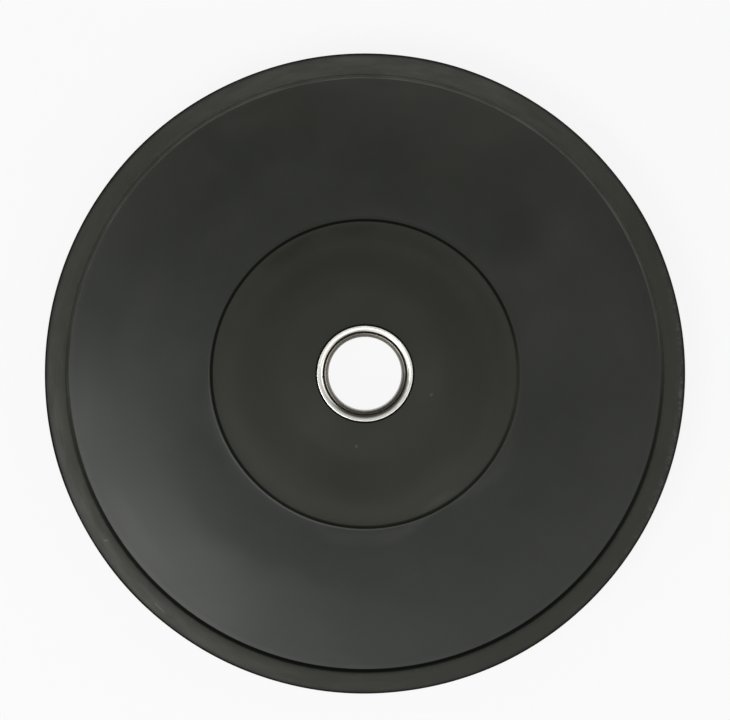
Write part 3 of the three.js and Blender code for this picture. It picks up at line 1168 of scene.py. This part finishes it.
# How much of the groove's painted shade its pale side loses, and how much paler it is there
GROOVE_CLEARANCE, GROOVE_PALENESS = 0.9, 0.22
# Dust all round the rim, and painted light on the rim wall's lit side
RIM_DUST, WALL_LIGHT = 0.12, 0.8
# Haze on the hub, and painted light that makes it paler towards one side
HUB_HAZE, HUB_SIDE_SHEEN = 0.04, 0.045
# Haze on the web, paler towards the rim, and painted sheen on its two bright sides
WEB_HAZE, OUTER_WEB_PALENESS, WEB_SHEEN = 0.012, 0.05, 0.18
# Painted highlight in the corner at the rim's foot, stronger on the bright sides
CORNER_HIGHLIGHT, LIT_CORNER_HIGHLIGHT = 0.2, 0.75
# Painted highlight on the bevel, and on its brightest stretch
BEVEL_HIGHLIGHT, BEVEL_BRIGHTEST = 0.14, 0.45

# The shares that marks keep on the side opposite their own, and the one that the painted sheen
# keeps at the lip
GROOVE_DARK_SHARE = 0.5
SHOULDER_DARK_SHARE = 0.1
CORNER_HIGHLIGHT_SHARE = 0.2
LIP_SHEEN_SHARE = 0.4

# How much the rim's wall has to face its dark side for painted shade, and up to where it carries
# painted light
WALL_DARK_FACING = (0.45, 0.95)
WALL_LIGHT_FACING = (0.42, 0.70)

# The power that narrows the bevel's brightest painted highlight, how many times a haze below 0
# counts as painted shade, and the most that it comes to
BEVEL_BRIGHTEST_POWER = 10
SHADE_GAIN, MOST_SHADE = 3, 0.3

# How far the outlines of the places of painted sheen wander outwards and round, the waves that
# they
# follow, and over which width they fade: a fixed one and a share of the place's own reach outwards
PLACE_WANDER = 5 * MM
PLACE_TURN = 7 * DEGREE
WANDER_WAVES = (31, 9, 40 * MM, 120 * MM)
TURN_WAVES = (32, 9, 50 * MM, 140 * MM)
PLACE_SOFTNESS, PLACE_SOFT_SHARE = 4 * MM, 0.35

# Painted sheen and shade on hub and webs, as slow changes of the haze: direction from the bore,
# how far it spreads, from which distance to which, and how much paler or darker it is there
SHEEN_PLACES = (
    (-10 * DEGREE, 36 * DEGREE, 36 * MM, 50 * MM, 0.07),
    (-135 * DEGREE, 22 * DEGREE, 36 * MM, 58 * MM, 0.06),
    (-50 * DEGREE, 34 * DEGREE, 90 * MM, 101 * MM, 0.04),
    (-152 * DEGREE, 22 * DEGREE, 92 * MM, 106 * MM, 0.05),
    (110 * DEGREE, 50 * DEGREE, 82 * MM, 106 * MM, -0.045),
    (-95 * DEGREE, 26 * DEGREE, 62 * MM, 82 * MM, -0.05),
    (-64 * DEGREE, 46 * DEGREE, 109 * MM, 112 * MM, 0.14),
    (100 * DEGREE, 44 * DEGREE, 109 * MM, 126 * MM, -0.09),
    (30 * DEGREE, 16 * DEGREE, 112 * MM, 172 * MM, 0.08),
    (180 * DEGREE, 18 * DEGREE, 122 * MM, 160 * MM, 0.07),
    (-118 * DEGREE, 18 * DEGREE, 118 * MM, 143 * MM, -0.06),
    (-136 * DEGREE, 22 * DEGREE, 164 * MM, 210 * MM, 0.26),
    (-144 * DEGREE, 20 * DEGREE, 197 * MM, 210 * MM, 0.13),
    (-90 * DEGREE, 14 * DEGREE, 205 * MM, 210 * MM, 0.07),
    (75 * DEGREE, 60 * DEGREE, 200 * MM, 204 * MM, 0.03),
    (117 * DEGREE, 16 * DEGREE, 168 * MM, 210 * MM, -0.09),
    (168 * DEGREE, 18 * DEGREE, 182 * MM, 210 * MM, -0.05),
)


def facing(around, side):
    """1 for directions from the bore that point to one side, and evenly down to 0 opposite it."""
    return 0.5 + 0.5 * np.cos(around - side)


def bell(away, spread):
    """1 at 0, and exp(-(away / spread) squared) beside it."""
    return np.exp(-((away / spread) ** 2))


class RubberPlaces:
    """Where the points of the moulding lie, and the marks that they carry there."""

    def __init__(self, piece, shape):
        self.radius, height, self.x, self.y = places(piece)
        self.depth = MIDDLE - np.abs(height)
        self.around = np.arctan2(self.y, self.x)
        self.rim_foot = PLATE_RADIUS - shape.rim_width
        self.rim_lip = self.rim_foot + shape.rim_wall
        self.groove = shape.hub_radius + shape.groove_width / 2
        self.groove_outer = shape.hub_radius + shape.groove_width
        self.bore = COLLAR_RADIUS + shape.insert_fit
        self.web = self.between(self.groove_outer, self.rim_foot, WEB_GLOSS_MARGINS)
        self.web *= self.above(WEB_DEPTHS)
        self.wall = self.between(self.rim_foot, self.rim_lip, WALL_MARGINS)
        self.hub = 1 - self.rise(shape.hub_radius, HUB_END_RISE)
        # Where the painted sheen on the rim, the web and the rim's foot is strongest
        self.sheen_sides = sum(
            amount * self.spread(side, spread) for side, spread, amount, _ in SHEEN_SIDES
        )

    def rise(self, start, distances):
        """0 up to the first distance outwards from a start, and 1 from the second."""
        return smooth_step(self.radius, *(start + distance for distance in distances))

    def ring(self, start, limits):
        """1 between two distances outwards from a start, and fading to 0 beside them."""
        low, high, soft = limits
        return band(self.radius, start + low, start + high, soft)

    def between(self, inner, outer, margins):
        """1 between two edges, but for a margin at each, and fading to 0 beside that."""
        low, high, soft = margins
        return band(self.radius, inner + low, outer - high, soft)

    def above(self, depths):
        """1 up to the first depth under the face, and 0 from the second."""
        return 1 - smooth_step(self.depth, *depths)

    def spread(self, side, width):
        """1 on one side of the bore, falling off over a width to both sides of it."""
        return bell(turned_from(self.around, side), width)

    def beside_groove(self, limits):
        """A ring on both sides of the groove's middle."""
        return band(np.abs(self.radius - self.groove), *limits)

    def worn_and_lit_edges(self):
        """Pale rubbed shoulder, rim's lip, groove's lips and seam, and the shoulder's painted
        highlight.
        """
        shoulder = self.ring(PLATE_RADIUS, SHOULDER_RING) * self.above(MARK_DEPTHS)
        # A painted highlight on the shoulder's lit side
        lit_side = bell(self.around - SHOULDER_LIT_SIDE, SHOULDER_LIT_SPREAD)
        shoulder *= SHOULDER_WEAR + SHOULDER_HIGHLIGHT * lit_side
        lip = self.ring(self.rim_foot, LIP_RING) * self.above(LIP_DEPTHS)
        hub_lip = self.beside_groove(HUB_LIP_RING) * self.above(HUB_LIP_DEPTHS)
        seam = self.rise(PLATE_RADIUS, SEAM_RISE)
        return np.maximum.reduce(
            [shoulder, LIP_WEAR * lip, HUB_LIP_WEAR * hub_lip, SEAM_WEAR * seam]
        )

    def dark_groove(self):
        """Painted shade in the groove's depth, darker on one side, and hardly dark on its pale
        side.
        """
        dark = self.beside_groove(GROOVE_RING) * smooth_step(self.depth, *GROOVE_DEPTHS)
        dark *= at_least(GROOVE_DARK_SHARE, facing(self.around, GROOVE_DARK_SIDE))
        return dark * (1 - GROOVE_CLEARANCE * self.spread(GROOVE_PALE_SIDE, GROOVE_CLEAR_SPREAD))

    def dark_creases(self):
        """Painted shade: dark groove, rim's wall, rubber beside the steel, shoulder and rim's lip.
        """
        foot = self.ring(self.rim_foot, FOOT_RING)
        wall = np.maximum(foot, self.wall)
        wall *= smooth_step(facing(self.around, WALL_DARK_SIDE), *WALL_DARK_FACING)
        at_steel = 1 - self.rise(self.bore, BORE_SHADE_RISE)
        shoulder = TREAD_DARKNESS * self.rise(PLATE_RADIUS, TREAD_DARK_RISE)
        side = at_least(SHOULDER_DARK_SHARE, facing(self.around, SHOULDER_DARK_SIDE))
        shoulder += SHOULDER_DARKNESS * side * self.rise(PLATE_RADIUS, SHOULDER_DARK_RISE)
        shoulder *= self.above(DARK_DEPTHS)
        lip = self.ring(self.rim_foot, LIP_DARK_RING) * facing(self.around, LIP_DARK_SIDE)
        return np.maximum.reduce(
            [self.dark_groove(), wall, at_steel, shoulder, LIP_DARKNESS * lip]
        )

    def dust(self):
        """Dust on the rim, painted sheen as more of it on two sides, painted light on the wall's
        lit side.
        """
        rim = self.rise(self.rim_lip, RIM_RISE)
        dust = RIM_DUST * rim
        for side, spread, amount, reach in SHEEN_SIDES:
            outwards = at_least(LIP_SHEEN_SHARE, self.rise(self.rim_lip, (0.0, reach)))
            dust += amount * self.spread(side, spread) * outwards * rim
        dark = smooth_step(facing(self.around, WALL_DARK_SIDE), *WALL_LIGHT_FACING)
        return np.maximum(dust, WALL_LIGHT * (self.wall * (1 - dark)))

    def haze_and_sheen(self):
        """Haze, and painted sheen and highlights, on hub, web, bevel and groove; below 0 for
        painted shade.
        """
        around, on_sheen_sides = self.around, self.sheen_sides
        haze_and_sheen = self.hub * (
            HUB_HAZE * (1 - self.ring(0.0, HUB_RING))
            + HUB_SIDE_SHEEN * np.cos(around - HUB_LIT_SIDE)
        )
        outwards = self.rise(0.0, WEB_OUTER_RISE)
        haze_and_sheen += self.web * (WEB_HAZE + outwards * (OUTER_WEB_PALENESS + WEB_SHEEN * on_sheen_sides))
        corner = self.ring(self.rim_foot, CORNER_RING)
        corner *= at_least(CORNER_HIGHLIGHT_SHARE, facing(around, CORNER_LIT_SIDE))
        haze_and_sheen += corner * (CORNER_HIGHLIGHT + LIT_CORNER_HIGHLIGHT * on_sheen_sides)
        pale = BEVEL_BRIGHTEST * facing(around, BEVEL_BRIGHTEST_SIDE) ** BEVEL_BRIGHTEST_POWER
        bevel = BEVEL_HIGHLIGHT * facing(around, BEVEL_LIT_SIDE) + pale
        haze_and_sheen += bevel * self.ring(self.groove_outer, BEVEL_RING)
        groove = self.beside_groove(GROOVE_RING)
        haze_and_sheen += GROOVE_PALENESS * groove * self.spread(GROOVE_PALE_SIDE, GROOVE_PALE_SPREAD)
        return haze_and_sheen + self.clouds() * np.maximum(self.hub, self.web)

    def clouds(self):
        """Painted sheen and shade, as slow changes of the haze whose wandering outlines follow no
        circles.
        """
        radius = self.radius + PLACE_WANDER * waves(self.x, self.y, *WANDER_WAVES)
        around = self.around + PLACE_TURN * waves(self.x, self.y, *TURN_WAVES)
        clouds = 0.0
        for side, spread, inner, outer, amount in SHEEN_PLACES:
            amount = amount * bell(turned_from(around, side), spread)
            soft = PLACE_SOFTNESS + PLACE_SOFT_SHARE * (outer - inner)
            clouds += amount * band(radius, inner, outer, soft)
        return clouds

    def marks(self):
        """Each mark's name, as the material reads it, and its values."""
        haze_and_sheen = self.haze_and_sheen()
        # Where the haze falls below 0, it turns into painted shade
        clean_and_shade = np.clip(-SHADE_GAIN * haze_and_sheen, 0, MOST_SHADE)
        # Besides real wear, dust and haze, these marks carry painted shade, sheen, highlights and
        # light
        return {
            "web": self.web,
            "edge": self.worn_and_lit_edges(),
            "crease": np.maximum(self.dark_creases(), clean_and_shade),
            "dust": self.dust(),
            "veil": np.maximum(haze_and_sheen, 0),
        }


# Pieces

# How far the rubber's plugs run into the rubber on both sides of the anchor disc's pocket
PLUG_OVERRUN = 2 * MM


class PLATE_OT_make_rubber(bpy.types.Operator):
    """Makes the moulding of tread, rims, webs and hubs"""

    bl_idname = "plate.make_rubber"
    bl_label = "Make rubber"

    def execute(self, context):
        scene = context.scene
        shape, insert = scene.plate_rubber_shape, scene.plate_insert_shape
        grid = revolve(rubber_outline(shape), RUBBER_SEGMENTS)
        uneven_faces(grid, shape)
        uneven_tread(grid, shape)
        piece = ring_object("moulded_rubber_body", grid)
        reach = ANCHOR_HALF + shape.fit + PLUG_OVERRUN
        join_solids(piece, plugs("plugs", insert, reach, shape.fit))
        piece.data.set_sharp_from_angle(angle=SMOOTH_ANGLE)
        for name, values in RubberPlaces(piece, shape).marks().items():
            mark(piece, name, values)
        settle(piece, "rubber_body", rubber_material(scene.plate_rubber_finish))
        return {"FINISHED"}


# The largest dent in the mouth of each collar: its direction from the bore and its width
FRONT_NICK = (185.0 * DEGREE, 0.8 * MM)
REAR_NICK = (40.0 * DEGREE, 1.1 * MM)

# The small dents of each mouth: how many, the least and largest depth and width, and the seed
SMALL_DENTS = 9
SMALL_DENT_DEPTHS = (0.03, 0.10)
SMALL_DENT_WIDTHS = (0.8, 3)
DENT_SEED = 5

# How far outside the seat a dent's middle lies, over which depth it fades, and how far it pushes
# the wall out for its depth
DENT_PLACE = 0.35 * MM
DENT_FADE = 1.6 * MM
DENT_PUSH_SHARE = 0.6

# Where painted shade lies on the steel: how far inside a piece's outer wall it begins, and the
# depths under the end at which it comes in or fades out
COLLAR_SHADE_WIDTH = 0.35 * MM
COLLAR_SHADE_DEPTHS = (0.1 * MM, 0.9 * MM)
MOUTH_SHADE_WIDTH = 0.6 * MM
MOUTH_SHADE_DEPTHS = (2.6 * MM, 3.4 * MM)
SLEEVE_SHADE_WIDTHS = (0.35 * MM, 0.05 * MM)
SLEEVE_SHADE_DEPTHS = (3 * MM, 5 * MM)
FLARE_SHADE_DEPTHS = (0.9 * MM, 2.0 * MM)
# The side of the flares that carries painted shade, and how much
FLARE_SHADE_SIDE = 105 * DEGREE
FLARE_SHADE = 0.6


class PLATE_OT_make_collars(bpy.types.Operator):
    """Makes the two bright steel collars on the ends of the tube"""

    bl_idname = "plate.make_collars"
    bl_label = "Make collars"

    def execute(self, context):
        scene = context.scene
        insert = scene.plate_insert_shape
        material = bright_material(scene.plate_steel_finish)
        front = supported(self.outline(insert), STEEL_SUPPORT)
        for name, node, outline, side in (
            ("front_collar_turned", "front_collar", front, 1),
            ("rear_collar_turned", "rear_collar", mirrored(front), -1),
        ):
            grid = revolve(outline, STEEL_SEGMENTS)
            self.wear_mouth(grid, insert, side)
            piece = ring_object(name, grid)
            self.mark_places(piece, insert)
            settle(piece, node, material)
        return {"FINISHED"}

    def outline(self, insert):
        """Outer wall, rounded edge, flat face, rounded mouth and the seat on the tube."""
        seat = SLEEVE_RADIUS + insert.fit
        outer = (COLLAR_RADIUS, COLLAR_FACE)
        inner = (seat, COLLAR_FACE - insert.face_dish)
        return np.concatenate([
            [(COLLAR_RADIUS, COLLAR_FOOT)],
            rounded((COLLAR_RADIUS, 0), outer, inner, insert.edge, COLLAR_EDGE_STEPS),
            rounded(outer, inner, (seat, 0), insert.mouth_rounding, COLLAR_MOUTH_STEPS),
            [(seat, COLLAR_FOOT)],
        ])

    def wear_mouth(self, grid, insert, side):
        """Small dents in the mouth where bars have struck it: each sinks the face and pushes the
        wall outwards, as exp(-(distance / width) squared)."""
        random = np.random.default_rng(DENT_SEED + side)
        angle, width = FRONT_NICK if side > 0 else REAR_NICK
        dents = [(angle, insert.nick, width)]
        for _ in range(SMALL_DENTS):
            angle = random.uniform(0, 360) * DEGREE
            depth = random.uniform(*SMALL_DENT_DEPTHS) * MM
            dents.append((angle, depth, random.uniform(*SMALL_DENT_WIDTHS) * MM))
        x, y, z = grid[:, :, 0], grid[:, :, 1], grid[:, :, 2]
        around = np.arctan2(y, x)
        reach = SLEEVE_RADIUS + insert.fit + DENT_PLACE
        top = MIDDLE + side * COLLAR_FACE
        for angle, depth, width in dents:
            flat = np.hypot(x - reach * math.cos(angle), y - reach * math.sin(angle))
            sunk = depth * bell(flat, width) * bell(z - top, DENT_FADE)
            grid[:, :, 2] -= side * sunk
            grid[:, :, 0] += np.cos(around) * sunk * DENT_PUSH_SHARE
            grid[:, :, 1] += np.sin(around) * sunk * DENT_PUSH_SHARE

    def mark_places(self, piece, insert):
        """Painted shade: down the outer wall beside the rubber, and deep inside the mouth."""
        radius, height, _, _ = places(piece)
        depth = COLLAR_FACE - np.abs(height)
        outer = smooth_step(radius, COLLAR_RADIUS - COLLAR_SHADE_WIDTH, COLLAR_RADIUS)
        outer *= smooth_step(depth, *COLLAR_SHADE_DEPTHS)
        in_mouth = radius < SLEEVE_RADIUS + insert.fit + MOUTH_SHADE_WIDTH
        inner = smooth_step(depth, *MOUTH_SHADE_DEPTHS) * in_mouth
        mark(piece, "crease", np.maximum(outer, inner))


class PLATE_OT_make_sleeve(bpy.types.Operator):
    """Makes the steel tube that lines the bore"""

    bl_idname = "plate.make_sleeve"
    bl_label = "Make sleeve"

    def execute(self, context):
        scene = context.scene
        insert = scene.plate_insert_shape
        outline = supported(self.outline(insert), STEEL_SUPPORT)
        piece = ring_object("bore_sleeve_drawn", revolve(outline, STEEL_SEGMENTS))
        self.mark_places(piece)
        settle(piece, "bore_sleeve", drawn_material(scene.plate_steel_finish))
        return {"FINISHED"}

    def outline(self, insert):
        """Outer wall, the flared end and the bore, above and below the middle plane."""
        centre = insert.bore_radius + insert.end_radius
        start = math.acos((SLEEVE_RADIUS - centre) / insert.end_radius)
        height = SLEEVE_REACH - insert.end_radius * math.sin(start)
        flare = arc(centre, height, insert.end_radius, start, 2 * QUARTER, FLARE_STEPS)
        end = np.concatenate([
            rounded((SLEEVE_RADIUS, 0), flare[0], flare[1], SLEEVE_EDGE, SLEEVE_EDGE_STEPS),
            flare[1:],
            line(flare[-1], (insert.bore_radius, 0), BORE_RINGS),
        ])
        return np.concatenate([end, mirrored(end)])

    def mark_places(self, piece):
        """Painted shade: outside the ends, and on one side of the flares."""
        radius, height, x, y = places(piece)
        depth = SLEEVE_REACH - np.abs(height)
        start, end = (SLEEVE_RADIUS - width for width in SLEEVE_SHADE_WIDTHS)
        outside = smooth_step(radius, start, end) * (1 - smooth_step(depth, *SLEEVE_SHADE_DEPTHS))
        inside = FLARE_SHADE * facing(np.arctan2(y, x), FLARE_SHADE_SIDE)
        inside *= smooth_step(depth, *FLARE_SHADE_DEPTHS)
        mark(piece, "crease", np.maximum(outside, inside * (1 - outside)))


class PLATE_OT_dress_anchor(bpy.types.Operator):
    """Gives the buried anchor disc its rolled steel"""

    bl_idname = "plate.dress_anchor"
    bl_label = "Dress anchor disc"

    def execute(self, context):
        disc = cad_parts["anchor_disc"]
        material = rolled_material(context.scene.plate_steel_finish)
        if not disc.material_slots:
            disc.data.materials.append(material)
        for slot in disc.material_slots:
            slot.material = material
        return {"FINISHED"}


# Studio

# The floor: how far it reaches, how far under the plate it lies, how brightly the lamps light it,
# between which distances from the bore its shadow ends, and how much of the shadow is left in the
# middle of the bore and from where to where it grows outwards
FLOOR_REACH = 6.0
FLOOR_DEPTH = 0.4 * MM
FLOOR_LIGHT = 0.75
SHADOW_END = (0.4, 1.0)
BORE_SHADOW = 0.3
BORE_SHADOW_END = (30 * MM, 80 * MM)

# What gloss sees: the middle of the bright ceiling, the angles from it between which the light
# falls off, and the heights of a direction between which it darkens to a share near the floor
CEILING = (-0.05, -0.68, 0.73)
CEILING_EDGE = (100 * DEGREE, 20 * DEGREE)
CEILING_LEVELS = (-0.1, 0.6)
CEILING_LOW_SHARE = 0.1

# The middles of the two low glows that gloss sees, the angles from them between which they fall
# off, and how many times as bright as the ceiling they are
LOW_GLOWS = ((0.98, -0.05, 0.20), (-0.68, -0.70, 0.22))
LOW_GLOW_EDGE = (60 * DEGREE, 32 * DEGREE)
LOW_GLOW_STRENGTH = 1.4

# The lamps: name, name of the power, size and place
LAMPS = (
    ("key_softbox", "key_power", 1.3, (-0.90, -0.68, 2.48)),
    ("front_softbox", "front_power", 2.0, (0.73, -1.08, 2.70)),
    ("side_softbox", "side_power", 1.4, (2.10, 0.0, 0.75)),
    ("low_softbox", "low_power", 1.2, (-1.50, -1.50, 0.80)),
)


class PLATE_OT_make_studio(bpy.types.Operator):
    """Makes the pale floor, the lamps, the surroundings and the camera"""

    bl_idname = "plate.make_studio"
    bl_label = "Make studio"

    def execute(self, context):
        studio = context.scene.plate_studio
        self.floor(studio)
        self.surroundings(context.scene, studio)
        for name, power_name, size, place in LAMPS:
            self.lamp(name, getattr(studio, power_name), size, place)
        self.camera(context.scene)
        context.scene.view_settings.view_transform = "Standard"
        return {"FINISHED"}

    def kinds_of_rays(self, wire):
        """1 for the rays from the camera, and 1 for those that gloss sends on or lets through."""
        path = wire.add("ShaderNodeLightPath").outputs
        shiny = wire.math("MAXIMUM", path["Is Glossy Ray"], path["Is Transmission Ray"])
        return path["Is Camera Ray"], shiny

    def floor(self, studio):
        """A flat floor just under the plate, plain and pale, that keeps the plate's shadow."""
        corners = [(-1, -1), (1, -1), (1, 1), (-1, 1)]
        mesh = bpy.data.meshes.new("floor")
        mesh.from_pydata(
            [(x * FLOOR_REACH, y * FLOOR_REACH, -FLOOR_DEPTH) for x, y in corners],
            [], [(0, 1, 2, 3)],
        )
        floor = bpy.data.objects.new("floor", mesh)
        bpy.context.scene.collection.objects.link(floor)
        material = bpy.data.materials.new("Pale floor")
        material.use_nodes = True
        material.node_tree.nodes.clear()
        wire = Wiring(material.node_tree)
        camera, shiny = self.kinds_of_rays(wire)
        seen = wire.math("MAXIMUM", camera, shiny)
        # The matt part of the mix fades out far from the plate, and most of it under the bore.
        radius = wire.radius(wire.add("ShaderNodeTexCoord").outputs["Object"])
        part = wire.ramp(radius, *SHADOW_END, studio.shadow, 0.0)
        part = wire.math("MULTIPLY", part, wire.ramp(radius, *BORE_SHADOW_END, BORE_SHADOW, 1.0))
        glow = wire.math("SUBTRACT", 1.0, part)
        # It is lit a little less than the emitting part, which makes up for it.
        tone = (studio.background, studio.background, studio.background, 1.0)
        matt = wire.add("ShaderNodeBsdfDiffuse", {"Color": tone})
        missing = (1 - FLOOR_LIGHT) / (1 - studio.shadow)
        lift = wire.math("MULTIPLY_ADD", part, missing, 1.0)
        light = wire.add("ShaderNodeEmission", {"Color": tone, "Strength": lift})
        mixed = wire.add(
            "ShaderNodeMixShader",
            {0: wire.math("MULTIPLY", seen, glow), 1: matt.outputs[0], 2: light.outputs[0]},
        )
        wire.add("ShaderNodeOutputMaterial", {"Surface": mixed.outputs[0]})
        mesh.materials.append(material)

    def surroundings(self, scene, studio):
        """The light from all round. The camera sees it plain and pale. Gloss sees it as a bright
        ceiling that falls off towards the far side and towards the floor, and two low glows."""
        world = bpy.data.worlds.new("studio")
        scene.world = world
        world.use_nodes = True
        world.node_tree.nodes.clear()
        wire = Wiring(world.node_tree)
        camera, shiny = self.kinds_of_rays(wire)
        direction = wire.add("ShaderNodeTexCoord").outputs["Generated"]
        ceiling = self.glow(wire, direction, CEILING, CEILING_EDGE, studio.walls, studio)
        level = wire.add("ShaderNodeSeparateXYZ", {0: direction}).outputs[2]
        fall = wire.ramp(level, *CEILING_LEVELS, CEILING_LOW_SHARE, 1.0)
        seen = wire.math("MULTIPLY", ceiling, fall)
        for middle in LOW_GLOWS:
            low = self.glow(wire, direction, middle, LOW_GLOW_EDGE, 0.0, studio)
            low = wire.math("MULTIPLY", low, LOW_GLOW_STRENGTH)
            seen = wire.math("MAXIMUM", seen, low)
        strength = wire.math("MULTIPLY", shiny, wire.math("SUBTRACT", seen, studio.fill))
        strength = wire.math("ADD", strength, studio.fill)
        plain = wire.math("MULTIPLY", camera, wire.math("SUBTRACT", studio.background, strength))
        strength = wire.math("ADD", strength, plain)
        background = wire.add(
            "ShaderNodeBackground", {"Color": (1.0, 1.0, 1.0, 1.0), "Strength": strength}
        )
        wire.add("ShaderNodeOutputWorld", {"Surface": background.outputs[0]})

    def glow(self, wire, direction, middle, edge, outside, studio):
        """As bright as the background round one direction, and falling off over the angles from
        it that edge gives."""
        middle = np.array(middle) / np.linalg.norm(middle)
        towards = wire.add(
            "ShaderNodeVectorMath", {0: direction, 1: tuple(middle)}, operation="DOT_PRODUCT"
        ).outputs["Value"]
        low, high = (math.cos(angle) for angle in edge)
        return wire.ramp(towards, low, high, outside, studio.background)

    def lamp(self, name, watts, size, place):
        """A round softbox that faces the middle of the plate."""
        lamp = bpy.data.lights.new(name, "AREA")
        lamp.energy = watts
        lamp.shape = "DISK"
        lamp.size = size
        made = bpy.data.objects.new(name, lamp)
        made.location = place
        bpy.context.scene.collection.objects.link(made)
        x, y, z = place[0], place[1], place[2] - MIDDLE
        made.rotation_euler = (math.atan2(math.hypot(x, y), z), 0, math.atan2(x, -y))
        made.rotation_mode = "XYZ"

    def camera(self, scene):
        """Straight above the plate, so high that the silhouette has its radius in the photograph.

        The ray that grazes the shoulder leans out by the angle whose tangent is plate radius over
        camera height, and touches the shoulder's arc at that angle above its middle.
        """
        shape = scene.plate_rubber_shape
        lean = math.atan2(PLATE_RADIUS, CAMERA_HEIGHT)
        touch_radius = PLATE_RADIUS - shape.shoulder * (1 - math.cos(lean))
        touch_depth = CAMERA_HEIGHT + shape.shoulder * (1 - math.sin(lean))
        focal = PHOTO_RADIUS * touch_depth / touch_radius
        metres = CAMERA_HEIGHT / focal
        data = bpy.data.cameras.new("camera")
        data.sensor_fit = "HORIZONTAL"
        data.sensor_width = SENSOR
        data.lens = focal * SENSOR / PHOTO_SIZE[0]
        camera = bpy.data.objects.new("camera", data)
        camera.location = (
            (PHOTO_SIZE[0] / 2 - PHOTO_CENTRE[0]) * metres,
            (PHOTO_CENTRE[1] - PHOTO_SIZE[1] / 2) * metres,
            PLATE_THICKNESS + CAMERA_HEIGHT,
        )
        scene.collection.objects.link(camera)
        scene.camera = camera


OPERATORS = (
    PLATE_OT_make_studio,
    PLATE_OT_make_rubber,
    PLATE_OT_make_collars,
    PLATE_OT_make_sleeve,
    PLATE_OT_dress_anchor,
)
GROUPS = {
    "plate_rubber_shape": RubberShape,
    "plate_insert_shape": InsertShape,
    "plate_rubber_finish": RubberFinish,
    "plate_steel_finish": SteelFinish,
    "plate_studio": Studio,
}


class VIEW3D_PT_bumper_plate(bpy.types.Panel):
    """Lists the sizes, the finishes and the steps that make the plate"""

    bl_idname = "VIEW3D_PT_bumper_plate"
    bl_label = "Bumper Plate"
    bl_space_type = "VIEW_3D"
    bl_region_type = "UI"
    bl_category = "Bumper Plate"

    def draw(self, context):
        layout = self.layout
        for operator in OPERATORS:
            layout.operator(operator.bl_idname)
        for name, group in GROUPS.items():
            box = layout.box()
            box.label(text=group.__doc__)
            for value in group.__annotations__:
                box.prop(getattr(context.scene, name), value)


CLASSES = (*GROUPS.values(), *OPERATORS, VIEW3D_PT_bumper_plate)


def register():
    """Makes the classes and the scene's values known to Blender."""
    for kind in CLASSES:
        bpy.utils.register_class(kind)
    for name, group in GROUPS.items():
        setattr(bpy.types.Scene, name, bpy.props.PointerProperty(type=group))


def unregister():
    """Takes back what register did."""
    for name in GROUPS:
        delattr(bpy.types.Scene, name)
    for kind in reversed(CLASSES):
        bpy.utils.unregister_class(kind)


def main():
    register()
    bpy.ops.plate.make_studio()
    bpy.ops.plate.make_rubber()
    bpy.ops.plate.make_collars()
    bpy.ops.plate.make_sleeve()
    bpy.ops.plate.dress_anchor()


if __name__ == "__main__":
    main()
